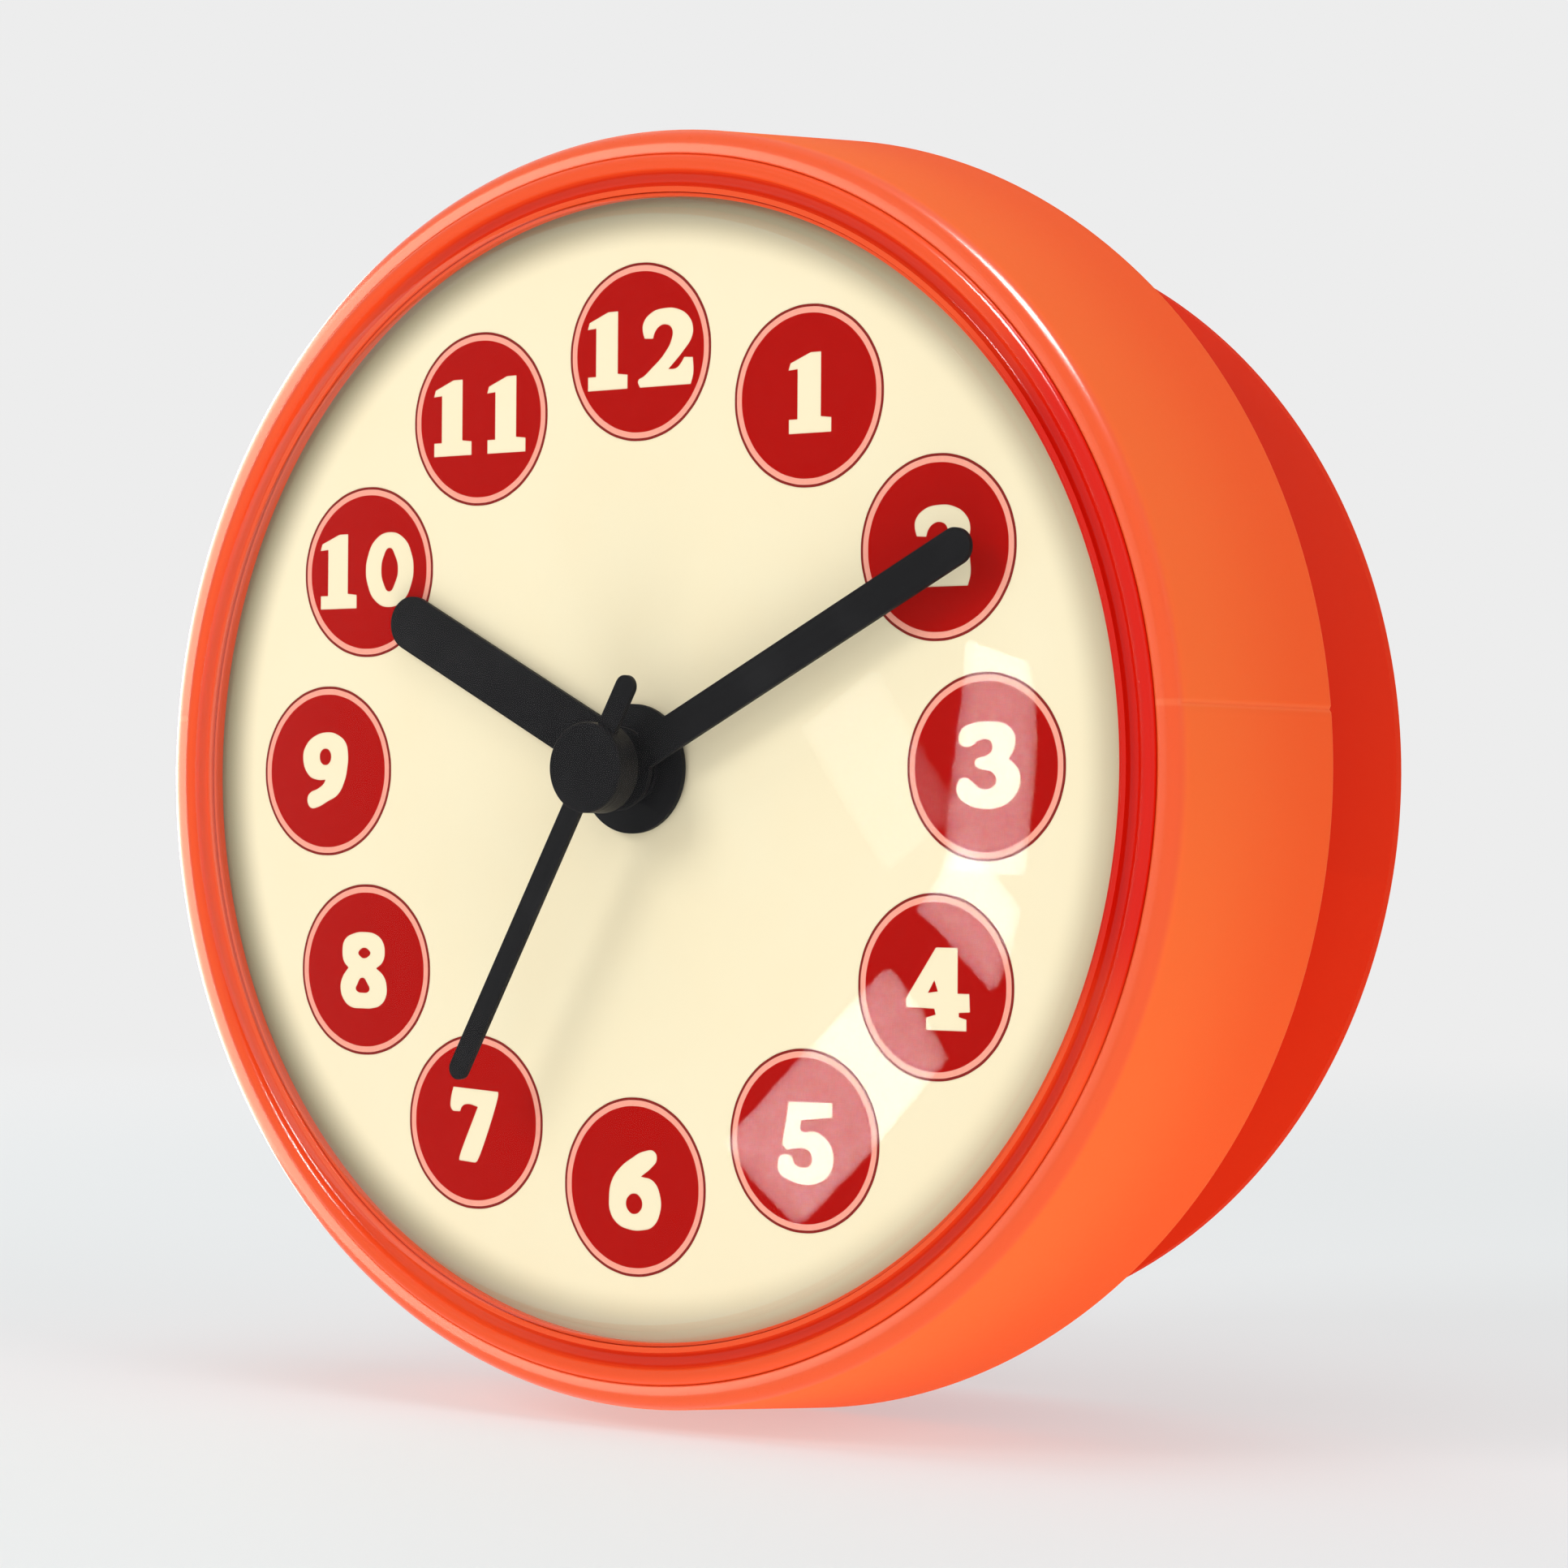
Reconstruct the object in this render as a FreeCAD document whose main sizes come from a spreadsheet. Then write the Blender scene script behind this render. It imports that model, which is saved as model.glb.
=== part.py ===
import FreeCAD, Part
import math
import os
import Sketcher

# Waterproof shower clock: a clock insert in a silicone sleeve that ends in a suction cup.
# Millimetres and degrees. Z is up, the wall is the plane Y = 0, and the dial faces -Y.
# The origin is on the clock's axis, in the wall plane, at the centre of the cup's rim.
# A depth is counted from the front face of the bezel ring towards the wall, a lift from the dial
# towards the viewer, and a bearing from twelve o'clock, clockwise as the viewer sees it.

sizes = {
    # silicone sleeve
    "sleeve_gap": 0.25,
    "lip_setback": 0.1,
    "lip_inner_round": 0.45,
    "lip_flat": 0.05,
    "lip_round": 1.25,
    "rear_wall": 3.35,
    "rear_round": 0.8,
    "floor_gap": 0.3,
    "floor_wall": 2.9,
    # neck and suction cup
    "neck_radius": 26.0,
    "neck_round": 1.5,
    "cup_length": 18.9,
    "cup_radius": 45.05,
    "cup_edge": 0.8,
    "cup_land": 2.2,
    "cup_root_width": 2.6,
    "cup_root_height": 5.0,
    "dish_depth": 9.5,
    "dish_flat": 4.0,
    # bezel ring
    "ring_width": 3.6,
    "ledge_width": 0.8,
    "ledge_setback": 0.45,
    "ledge_wall": 0.55,
    "rim_width": 0.4,
    "cove_depth": 0.55,
    "bead_width": 1.2,
    "bead_height": 0.45,
    "skirt_wall": 1.3,
    "skirt_length": 9.0,
    "boss_radius": 2.6,
    "boss_inset": 3.0,
    "boss_gap": 0.15,
    # lens and its seal
    "lens_gap": 0.05,
    "lens_wall": 1.1,
    "lens_straight": 0.16,
    "lens_clearance": 1.2,
    "dome_radius": 260.0,
    "dome_flat": 0.5,
    "seal_thickness": 0.25,
    # dial
    "card_thickness": 0.25,
    "plate_thickness": 1.2,
    "plate_gap": 0.4,
    "dial_hole_gap": 0.2,
    "post_radius": 2.4,
    "post_length": 3.0,
    # rear case
    "corner_gap": 3.7,
    "joint_gap": 0.1,
    "spigot_wall": 1.6,
    "notch_gap": 0.4,
    "case_wall": 1.6,
    "flange_thickness": 1.4,
    "floor_thickness": 1.4,
    "case_round": 0.8,
    "opening_gap": 0.5,
    "tube_wall": 1.1,
    # screws
    "screw_count": 4,
    "screw_radius": 1.0,
    "screw_length": 6.0,
    "head_radius": 2.0,
    "head_height": 1.3,
    "slot_width": 0.5,
    "slot_depth": 0.6,
    "hole_gap": 0.15,
    "small_screw_radius": 0.8,
    "small_screw_length": 4.2,
    "small_head_radius": 1.6,
    "small_head_height": 1.1,
    # hands
    "hand_thickness": 0.45,
    "hour_lift": 0.35,
    "hour_tip_gap": 15.6,
    "hour_width": 4.25,
    "hour_hub": 4.9,
    "hour_bearing": 297.5,
    "hour_collar": 2.6,
    "hour_collar_height": 0.35,
    "minute_lift": 2.15,
    "minute_tip_gap": 7.1,
    "minute_width": 2.72,
    "minute_hub": 3.15,
    "minute_bearing": 62.9,
    "minute_collar": 2.1,
    "minute_collar_height": 0.7,
    "second_lift": 5.4,
    "second_tip_gap": 15.7,
    "second_width": 1.72,
    "second_tail": 7.7,
    "second_hub": 3.4,
    "second_hub_height": 1.2,
    "second_bearing": 208.95,
    "cap_thickness": 0.6,
    "cap_round": 0.25,
    # movement case
    "housing_wall": 1.2,
    "coil_wall_gap": 2.4,
    "wheel_wall_gap": 1.2,
    "rib_thickness": 1.2,
    "bush_radius": 3.4,
    "bush_gap": 0.15,
    "ear_radius": 3.0,
    "ear_offset": 10.0,
    "ear_thickness": 1.5,
    "bearing_depth": 0.7,
    "end_play": 0.1,
    # bridge between the motion work and the going train
    "bridge_overhang": 10.6,
    "bridge_right": 12.0,
    "bridge_top": 17.0,
    "bridge_gap": 0.7,
    "pillar_radius": 1.5,
    "pillar_inset": 2.0,
    # wheels and arbors
    "layer_gap": 0.2,
    "wheel_thickness": 0.8,
    "running_gap": 0.05,
    "pivot_radius": 0.35,
    "hour_pipe_radius": 1.7,
    "minute_arbor_radius": 0.95,
    "seconds_arbor_radius": 0.4,
    "motion_arbor_radius": 0.8,
    "motion_module": 0.4,
    "motion_bearing": 250.0,
    "third_module": 0.25,
    "third_bearing": 90.0,
    "seconds_module": 0.28,
    "intermediate_bearing": 340.0,
    "rotor_module": 0.2,
    "rotor_bearing": 330.0,
    "cannon_teeth": 12,
    "motion_teeth": 36,
    "motion_pinion_teeth": 10,
    "hour_teeth": 40,
    "second_pinion_teeth": 8,
    "third_teeth": 60,
    "third_pinion_teeth": 8,
    "centre_teeth": 64,
    "seconds_teeth": 50,
    "intermediate_pinion_teeth": 10,
    "intermediate_teeth": 60,
    "rotor_teeth": 10,
    "tooth_rise": 0.95,
    "tooth_fall": 1.3,
    "tooth_share": 0.8,
    "wheel_tip_share": 0.5,
    "pinion_tip_share": 0.4,
    # step motor
    "magnet_radius": 2.4,
    "magnet_height": 1.5,
    "magnet_gap": 0.3,
    "cover_gap": 0.15,
    "rotor_hole_gap": 0.35,
    "stator_thickness": 0.8,
    "stator_frame": 3.9,
    "leg_width": 3.0,
    "peg_radius": 1.0,
    "coil_distance": 8.0,
    "coil_length": 12.0,
    "bobbin_radius": 1.75,
    "winding_depth": 0.6,
    "flange_rim": 0.1,
    "flange_width": 0.7,
    "core_width": 2.0,
    "core_gap": 0.3,
    # circuit
    "board_gap": 1.3,
    "board_width": 11.0,
    "board_height": 16.0,
    "board_thickness": 0.8,
    "board_lift": 1.4,
    "board_inset": 1.5,
    "chip_radius": 3.0,
    "chip_height": 1.1,
    "chip_inset": 5.0,
    "crystal_radius": 1.0,
    "crystal_length": 6.0,
    "crystal_inset": 3.0,
    # setting knob
    "knob_radius": 4.5,
    "knob_thickness": 1.35,
    "knob_gap": 0.15,
    "knob_cover": 0.4,
    "knob_grooves": 24,
    "groove_radius": 0.3,
    # battery cell and contacts
    "cell_radius": 5.25,
    "cell_length": 44.5,
    "nub_radius": 1.9,
    "nub_length": 0.8,
    "cell_gap": 0.3,
    "cell_seat": 0.1,
    "contact_space": 4.55,
    "contact_thickness": 0.4,
    "contact_width": 7.0,
    "contact_height": 8.0,
}


class Size:
    # a size that carries both its value and the sheet formula that gives it
    def __init__(self, value, text):
        self.value = value
        self.text = text

    def __add__(self, other):
        other = asSize(other)
        return Size(self.value + other.value, f"({self.text} + {other.text})")

    def __sub__(self, other):
        other = asSize(other)
        return Size(self.value - other.value, f"({self.text} - {other.text})")

    def __mul__(self, other):
        other = asSize(other)
        return Size(self.value * other.value, f"({self.text} * {other.text})")

    def __truediv__(self, other):
        other = asSize(other)
        return Size(self.value / other.value, f"({self.text} / {other.text})")

    def __radd__(self, other):
        return asSize(other) + self

    def __rsub__(self, other):
        return asSize(other) - self

    def __rmul__(self, other):
        return asSize(other) * self

    def __neg__(self):
        return Size(-self.value, f"(0 - {self.text})")


class SizeSheet:
    # size.neck_radius is the sheet's cell of that name
    def __getattr__(self, name):
        return Size(float(sizes[name]), f"Sizes.{name}")


def asSize(number):
    if isinstance(number, Size):
        return number
    return Size(float(number), f"({float(number)})")


def rootOf(square):
    return Size(math.sqrt(square.value), f"sqrt({square.text})")


def larger(first, second):
    return Size(max(first.value, second.value), f"max({first.text}; {second.text})")


def spot(distance, bearing, fromX=0, fromZ=0):
    # the place at this distance and bearing from another place
    bearing = asSize(bearing)
    across = Size(math.sin(math.radians(bearing.value)), f"sin({bearing.text})")
    up = Size(math.cos(math.radians(bearing.value)), f"cos({bearing.text})")
    return fromX + distance * across, fromZ + distance * up


doc = FreeCAD.newDocument("ShowerClock")
sheet = doc.addObject("Spreadsheet::Sheet", "Sizes")
for row, (sizeName, number) in enumerate(sizes.items(), start=1):
    sheet.set(f"A{row}", sizeName)
    sheet.set(f"B{row}", str(number))
    sheet.setAlias(f"B{row}", sizeName)
doc.recompute()

size = SizeSheet()
zero = asSize(0)
nodes = []


def node(thing, label):
    thing.Label = label
    nodes.append(thing)


def bind(thing, formulas):
    for path, formula in formulas.items():
        thing.setExpression(path, asSize(formula).text)


def place(thing, x, y, z, turn=None):
    thing.Placement = FreeCAD.Placement(FreeCAD.Vector(), turn or FreeCAD.Rotation())
    bind(thing, {"Placement.Base.x": x, "Placement.Base.y": y, "Placement.Base.z": z})
    return thing


# Round and square bars. A rod runs along Y, a cross rod along X.

def rod(name, radius, front, back, x=0, z=0):
    cylinder = doc.addObject("Part::Cylinder", name)
    bind(cylinder, {"Radius": radius, "Height": back - front})
    return place(cylinder, x, front, z, FreeCAD.Rotation(FreeCAD.Vector(1, 0, 0), -90))


def crossRod(name, radius, left, right, y, z):
    cylinder = doc.addObject("Part::Cylinder", name)
    bind(cylinder, {"Radius": radius, "Height": right - left})
    return place(cylinder, left, y, z, FreeCAD.Rotation(FreeCAD.Vector(0, 1, 0), 90))


def block(name, left, right, front, back, bottom, top, bearing=None):
    box = doc.addObject("Part::Box", name)
    bind(box, {"Length": right - left, "Width": back - front, "Height": top - bottom})
    if bearing is None:
        return place(box, left, front, bottom)
    # drawn upright above the axis, then turned about the axis to its bearing
    corner = spot(bottom, bearing, *spot(left, bearing + 90))
    place(box, corner[0], front, corner[1], FreeCAD.Rotation(FreeCAD.Vector(0, 1, 0), bearing.value))
    bind(box, {"Placement.Rotation.Angle": bearing})
    return box


def joined(name, things):
    fusion = doc.addObject("Part::MultiFuse", name)
    fusion.Shapes = list(things)
    return fusion


def cutFrom(name, base, tools):
    cut = doc.addObject("Part::Cut", name)
    cut.Base = base
    cut.Tool = tools[0] if len(tools) == 1 else joined(f"{name}_cuts", tools)
    return cut


def bearings(count):
    return [asSize(360 * index / count) for index in range(count)]


# Turned pieces: a closed outline of (radius, y) corners, revolved about the clock's axis.
# A third value is the radius of the arc to the next corner, with its centre to the left of
# the way along the outline where it is positive and to the right where it is negative.

def arch(width, height):
    # the radius of an arc that rises this high over this width
    return (width * width / 4 + height * height) / (2 * height)


def arcBetween(start, end, bend):
    along = end - start
    half = along.Length / 2
    left = FreeCAD.Vector(-along.y, along.x, 0).normalize() * math.copysign(1, bend)
    rise = math.sqrt(max(bend * bend - half * half, 0))
    crown = (start + end) * 0.5 + left * (rise - abs(bend))
    if bend < 0:
        return Part.Arc(end, crown, start)
    return Part.Arc(start, crown, end)


def drawOutline(sketch, corners):
    points = [FreeCAD.Vector(asSize(corner[0]).value, corner[1].value, 0) for corner in corners]
    bends = [corner[2] if len(corner) == 3 else None for corner in corners]
    count = len(points)
    startVertex = []
    for index, start in enumerate(points):
        end = points[(index + 1) % count]
        if bends[index] is None:
            sketch.addGeometry(Part.LineSegment(start, end), False)
        else:
            sketch.addGeometry(arcBetween(start, end, bends[index].value), False)
        drawn = sketch.Geometry[index]
        forward = (drawn.StartPoint - start).Length < (drawn.EndPoint - start).Length
        startVertex.append(1 if forward else 2)
    for index, start in enumerate(points):
        after = (index + 1) % count
        endVertex = 3 - startVertex[index]
        sketch.addConstraint(Sketcher.Constraint("Coincident", index, endVertex, after, startVertex[after]))
        bindCorner(sketch, index, startVertex[index], "DistanceX", start.x, corners[index][0], -2)
        bindCorner(sketch, index, startVertex[index], "DistanceY", start.y, corners[index][1], -1)
        if bends[index] is not None:
            radius = bends[index] if bends[index].value > 0 else -bends[index]
            made = sketch.addConstraint(Sketcher.Constraint("Radius", index, radius.value))
            sketch.setExpression(f"Constraints[{made}]", radius.text)


def bindCorner(sketch, edge, vertex, direction, value, formula, axis):
    if formula is zero:
        sketch.addConstraint(Sketcher.Constraint("PointOnObject", edge, vertex, axis))
        return
    made = sketch.addConstraint(Sketcher.Constraint(direction, edge, vertex, value))
    sketch.setExpression(f"Constraints[{made}]", formula.text)


def turned(name, corners):
    body = doc.addObject("PartDesign::Body", f"{name}_body")
    plane = next(each for each in body.Origin.OriginFeatures if each.Role == "XY_Plane")
    sketch = body.newObject("Sketcher::SketchObject", f"{name}_outline")
    sketch.AttachmentSupport = [(plane, "")]
    sketch.MapMode = "FlatFace"
    drawOutline(sketch, corners)
    revolution = body.newObject("PartDesign::Revolution", f"{name}_turned")
    revolution.Profile = sketch
    revolution.ReferenceAxis = (sketch, ["V_Axis"])
    revolution.Angle = 360
    body.Tip = revolution
    return body


def turnedRing(name, inner, outer, front, back):
    return turned(name, [(inner, front), (outer, front), (outer, back), (inner, back)])


# Toothed wheels. One tooth points along toothBearing. The teeth are straight-sided and narrow
# enough to turn freely at every angle.

def toothed(name, module, layer, axis, toothBearing, tipShare):
    teeth = count(f"{name}_teeth")
    pitch = teeth * module.value / 2
    foot = pitch - size.tooth_fall.value * module.value
    tip = pitch + size.tooth_rise.value * module.value
    half = 90 / teeth * size.tooth_share.value
    corners = []
    for index in range(teeth):
        middle = toothBearing.value + 360 * index / teeth
        for radius, side in (
            (foot, -half), (pitch, -half), (tip, -half * tipShare.value),
            (tip, half * tipShare.value), (pitch, half), (foot, half),
        ):
            angle = math.radians(middle + side)
            corners.append(FreeCAD.Vector(radius * math.sin(angle), 0, radius * math.cos(angle)))
    face = Part.Face(Part.makePolygon(corners + corners[:1]))
    gear = doc.addObject("Part::Feature", f"{name}_teeth")
    gear.Shape = face.extrude(FreeCAD.Vector(0, size.wheel_thickness.value, 0))
    return place(gear, axis[0], layer[0], axis[1])


def wheel(name, module, layer, axis, mate):
    # a gap between two teeth faces the mate, whose tooth fills it
    halfPitch = 180 / count(f"{name}_teeth")
    return toothed(name, module, layer, axis, mate + halfPitch, size.wheel_tip_share)


def pinion(name, module, layer, axis, mate):
    return toothed(name, module, layer, axis, mate, size.pinion_tip_share)


def count(sizeName):
    return int(sizes[sizeName])


# Places along the axis, each worked out from the piece in front of it.

cardFront = size.ledge_setback + size.ledge_wall
plateBack = cardFront + size.card_thickness + size.plate_thickness
wallBack = plateBack + size.housing_wall
layerPitch = size.layer_gap + size.wheel_thickness
layerCount = 7
magnetDepth = wallBack + layerCount * layerPitch + size.magnet_gap
statorDepth = magnetDepth + (size.magnet_height - size.stator_thickness) / 2
coilRadius = size.bobbin_radius + size.winding_depth
flangeRadius = coilRadius + size.flange_rim
coilDepth = statorDepth - size.core_width / 2
coverDepth = larger(magnetDepth + size.magnet_height, coilDepth + flangeRadius) + size.cover_gap
movementDepth = coverDepth + size.housing_wall
cellDepth = wallBack + size.cell_seat + size.cell_radius
knobDepth = movementDepth + size.knob_gap + size.knob_thickness
insertLength = larger(knobDepth, cellDepth + size.cell_radius) + size.knob_cover
sleeveLength = insertLength + size.floor_gap + size.floor_wall
standOff = sleeveLength + size.cup_length
caseFront = size.skirt_length + size.joint_gap
screwSeat = caseFront + size.flange_thickness
earFront = plateBack + size.post_length
earBack = earFront + size.ear_thickness


def atDepth(depth):
    return depth - standOff


def atLift(lift):
    return atDepth(cardFront) - lift


def layerSpan(index):
    start = atDepth(wallBack + size.layer_gap + index * layerPitch)
    return start, start + size.wheel_thickness


spans = [layerSpan(index) for index in range(layerCount)]
hourLayer, motionLayer, bridgeLayer, centreLayer, thirdLayer, secondsLayer, intermediateLayer = spans
capFront = atLift(size.second_lift + size.hand_thickness + size.cap_thickness)

# Axes of the works. Each distance is half the sum of the two pitch diameters in mesh.

motionDistance = size.motion_module * (size.motion_pinion_teeth + size.hour_teeth) / 2
cannonModule = 2 * motionDistance / (size.cannon_teeth + size.motion_teeth)
motionAxis = spot(motionDistance, size.motion_bearing)
thirdDistance = size.third_module * (size.second_pinion_teeth + size.third_teeth) / 2
centreModule = 2 * thirdDistance / (size.third_pinion_teeth + size.centre_teeth)
thirdAxis = spot(thirdDistance, size.third_bearing)
intermediateDistance = size.seconds_module * (size.seconds_teeth + size.intermediate_pinion_teeth) / 2
intermediateAxis = spot(intermediateDistance, size.intermediate_bearing)
rotorDistance = size.rotor_module * (size.intermediate_teeth + size.rotor_teeth) / 2
rotorAxis = spot(rotorDistance, size.rotor_bearing, *intermediateAxis)
rotorX, rotorZ = rotorAxis
centreAxis = (zero, zero)
trainAxes = [thirdAxis, intermediateAxis, rotorAxis]
bushBore = size.hour_pipe_radius + size.running_gap
minuteBore = size.minute_arbor_radius + size.running_gap
motionBore = size.motion_arbor_radius + size.running_gap
pivotBore = size.pivot_radius + size.running_gap
arborBore = size.seconds_arbor_radius + size.running_gap

# Half widths and heights of the movement, from the works and the battery cell that it holds.

coreHalf = size.coil_length / 2 + size.flange_width + size.core_gap + size.leg_width
coreZ = rotorZ + size.coil_distance
motionReach = cannonModule * (size.motion_teeth / 2 + size.tooth_rise)
worksSide = size.cell_length / 2 + size.contact_space
worksTop = coreZ + flangeRadius + size.coil_wall_gap
worksBottom = motionAxis[1] - motionReach - size.wheel_wall_gap
housingSide = worksSide + size.housing_wall
housingTop = worksTop + size.housing_wall
bayTop = worksBottom - size.rib_thickness
bayBottom = bayTop - 2 * (size.cell_radius + size.cell_gap)
housingBottom = bayBottom - size.housing_wall
cellZ = bayTop - size.cell_gap - size.cell_radius
earX = housingSide + size.ear_radius
earPlaces = [(earX, -size.ear_offset), (-earX, size.ear_offset)]
bridgeLeft = motionAxis[0] - size.bridge_overhang
bridgeBottom = worksBottom + size.bridge_gap
boardRight = worksSide - size.board_gap
boardTop = worksTop - size.board_gap

# Radii of the insert, built outwards from the movement's upper corners.

spigotInside = rootOf(housingSide * housingSide + housingTop * housingTop) + size.corner_gap
spigotRadius = spigotInside + size.spigot_wall
skirtInside = spigotRadius + size.joint_gap
insertRadius = skirtInside + size.skirt_wall
windowRadius = insertRadius - size.ring_width
lensSeat = windowRadius + size.ledge_width
dialRadius = skirtInside - size.plate_gap
screwCircle = skirtInside - size.boss_inset
headClearance = size.head_radius + size.hole_gap


def siliconeSleeve():
    bore = insertRadius + size.sleeve_gap
    lipStart = bore + size.lip_inner_round
    lipEnd = lipStart + size.lip_flat
    front = atDepth(size.lip_setback)
    rear = atDepth(sleeveLength)
    floor = atDepth(insertLength + size.floor_gap)
    neckTop = rear + size.neck_round
    rootBend = arch(2 * size.cup_root_height, size.cup_root_width)
    dishRadius = size.cup_radius - size.cup_land
    sleeve = turned("silicone_sleeve", [
        (bore, front + size.lip_inner_round, size.lip_inner_round),
        (lipStart, front),
        (lipEnd, front, size.lip_round),
        (lipEnd + size.lip_round, front + size.lip_round),
        (bore + size.rear_wall, rear - size.rear_round, size.rear_round),
        (bore + size.rear_wall - size.rear_round, rear),
        (size.neck_radius + size.neck_round, rear, -size.neck_round),
        (size.neck_radius, neckTop, -rootBend),
        (size.neck_radius + size.cup_root_width, neckTop + size.cup_root_height),
        (size.cup_radius, -size.cup_edge),
        (size.cup_radius, zero),
        (dishRadius, zero, -arch(2 * (dishRadius - size.dish_flat), size.dish_depth)),
        (size.dish_flat, -size.dish_depth),
        (zero, -size.dish_depth),
        (zero, floor),
        (bore, floor),
    ])
    node(sleeve, "silicone_sleeve")


def bezelRing():
    face = atDepth(zero)
    ledge = atDepth(size.ledge_setback)
    back = atDepth(size.skirt_length)
    rimOutside = lensSeat + size.rim_width
    beadInside = insertRadius - size.bead_width
    coveWidth = beadInside - rimOutside
    shell = turned("bezel_shell", [
        (windowRadius, atDepth(cardFront)),
        (windowRadius, ledge),
        (lensSeat, ledge),
        (lensSeat, face),
        (rimOutside, face, -arch(coveWidth, size.cove_depth)),
        (beadInside, face, arch(size.bead_width, size.bead_height)),
        (insertRadius, face),
        (insertRadius, back),
        (skirtInside, back),
        (skirtInside, atDepth(cardFront)),
    ])
    bossFront = atDepth(plateBack + size.boss_gap)
    holeFront = atDepth(screwSeat - size.screw_length - size.hole_gap)
    solids = [shell]
    holes = []
    for index, bearing in enumerate(bearings(count("screw_count"))):
        x, z = spot(screwCircle, bearing)
        solids.append(rod(f"bezel_boss_{index}", size.boss_radius, bossFront, back, x, z))
        solids.append(block(
            f"bezel_web_{index}", -size.boss_radius, size.boss_radius, bossFront, back,
            screwCircle, skirtInside + size.skirt_wall / 2, bearing,
        ))
        holes.append(rod(f"bezel_hole_{index}", size.screw_radius, holeFront, back, x, z))
    node(cutFrom("bezel_ring", joined("bezel_with_bosses", solids), holes), "bezel_ring")


def lensAndSeal():
    inner = windowRadius + size.lens_gap
    outer = lensSeat - size.lens_gap
    ledge = atDepth(size.ledge_setback)
    foot = ledge - size.seal_thickness
    node(turnedRing("lens_seal", inner, outer, foot, ledge), "lens_seal")

    # a small flat, the dome, the shoulder and the wall touch smoothly, so the shoulder's radius
    # follows from the others
    wall = size.lens_wall
    dome = size.dome_radius
    flat = size.dome_flat
    crown = capFront - size.lens_clearance - wall
    domeCentre = crown + dome
    wallTop = foot - size.lens_straight
    reach = domeCentre - wallTop
    spread = outer - flat
    shoulder = (dome * dome - spread * spread - reach * reach) / (2 * (dome - spread))
    slope = (spread - shoulder) / (dome - shoulder)
    drop = reach / (dome - shoulder)
    lens = turned("lens", [
        (zero, crown),
        (flat, crown, dome),
        (flat + slope * dome, domeCentre - drop * dome, shoulder),
        (outer, wallTop),
        (outer, foot),
        (outer - wall, foot),
        (outer - wall, wallTop, -(shoulder - wall)),
        (flat + slope * (dome - wall), domeCentre - drop * (dome - wall), -(dome - wall)),
        (flat, crown + wall),
        (zero, crown + wall),
    ])
    node(lens, "lens")


def dial():
    bushHole = size.bush_radius + size.dial_hole_gap
    cardBack = atDepth(cardFront + size.card_thickness)
    node(turnedRing("dial_card", bushHole, dialRadius, atDepth(cardFront), cardBack), "dial_card")
    plate = turnedRing("dial_disc", bushHole, dialRadius, cardBack, atDepth(plateBack))
    postHoleFront = earBack - size.small_screw_length - size.hole_gap
    solids = [plate]
    holes = []
    for index, (x, z) in enumerate(earPlaces):
        post = (atDepth(plateBack), atDepth(earFront))
        hole = (atDepth(postHoleFront), atDepth(earFront))
        solids.append(rod(f"dial_post_{index}", size.post_radius, *post, x, z))
        holes.append(rod(f"dial_post_hole_{index}", size.small_screw_radius, *hole, x, z))
    node(cutFrom("dial_plate", joined("dial_disc_with_posts", solids), holes), "dial_plate")


def rearCase():
    outside = insertRadius - size.joint_gap
    back = atDepth(insertLength)
    floorFront = back - size.floor_thickness
    shell = turned("case_shell", [
        (spigotInside, atDepth(plateBack)),
        (spigotRadius, atDepth(plateBack)),
        (spigotRadius, atDepth(caseFront)),
        (outside, atDepth(caseFront)),
        (outside, back - size.case_round, size.case_round),
        (outside - size.case_round, back),
        (zero, back),
        (zero, floorFront),
        (outside - size.case_wall, floorFront),
        (outside - size.case_wall, atDepth(screwSeat)),
        (spigotInside, atDepth(screwSeat)),
    ])
    gap = size.opening_gap
    cuts = [block(
        "case_window", -housingSide - gap, housingSide + gap, floorFront, back,
        housingBottom - gap, housingTop + gap,
    )]
    solids = [shell]
    notchSide = size.boss_radius + size.notch_gap
    for index, bearing in enumerate(bearings(count("screw_count"))):
        x, z = spot(screwCircle, bearing)
        solids.append(rod(
            f"case_tube_{index}", headClearance + size.tube_wall, atDepth(caseFront), back, x, z,
        ))
        cuts.append(rod(f"case_sink_{index}", headClearance, atDepth(screwSeat), back, x, z))
        cuts.append(rod(
            f"case_hole_{index}", size.screw_radius + size.hole_gap,
            atDepth(caseFront), atDepth(screwSeat), x, z,
        ))
        cuts.append(block(
            f"case_notch_{index}", -notchSide, notchSide, atDepth(plateBack), atDepth(caseFront),
            spigotInside - size.notch_gap, spigotRadius + size.joint_gap, bearing,
        ))
    node(cutFrom("rear_case", joined("case_with_tubes", solids), cuts), "rear_case")


def screw(name, x, z, seat, radius, length, headRadius, headHeight):
    headBack = seat + headHeight
    whole = joined(f"{name}_blank", [
        rod(f"{name}_head", headRadius, seat, headBack, x, z),
        rod(f"{name}_shank", radius, seat - length, seat, x, z),
    ])
    slot = block(
        f"{name}_slot", x - headRadius, x + headRadius, headBack - size.slot_depth, headBack,
        z - size.slot_width / 2, z + size.slot_width / 2,
    )
    return cutFrom(name, whole, [slot])


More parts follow.
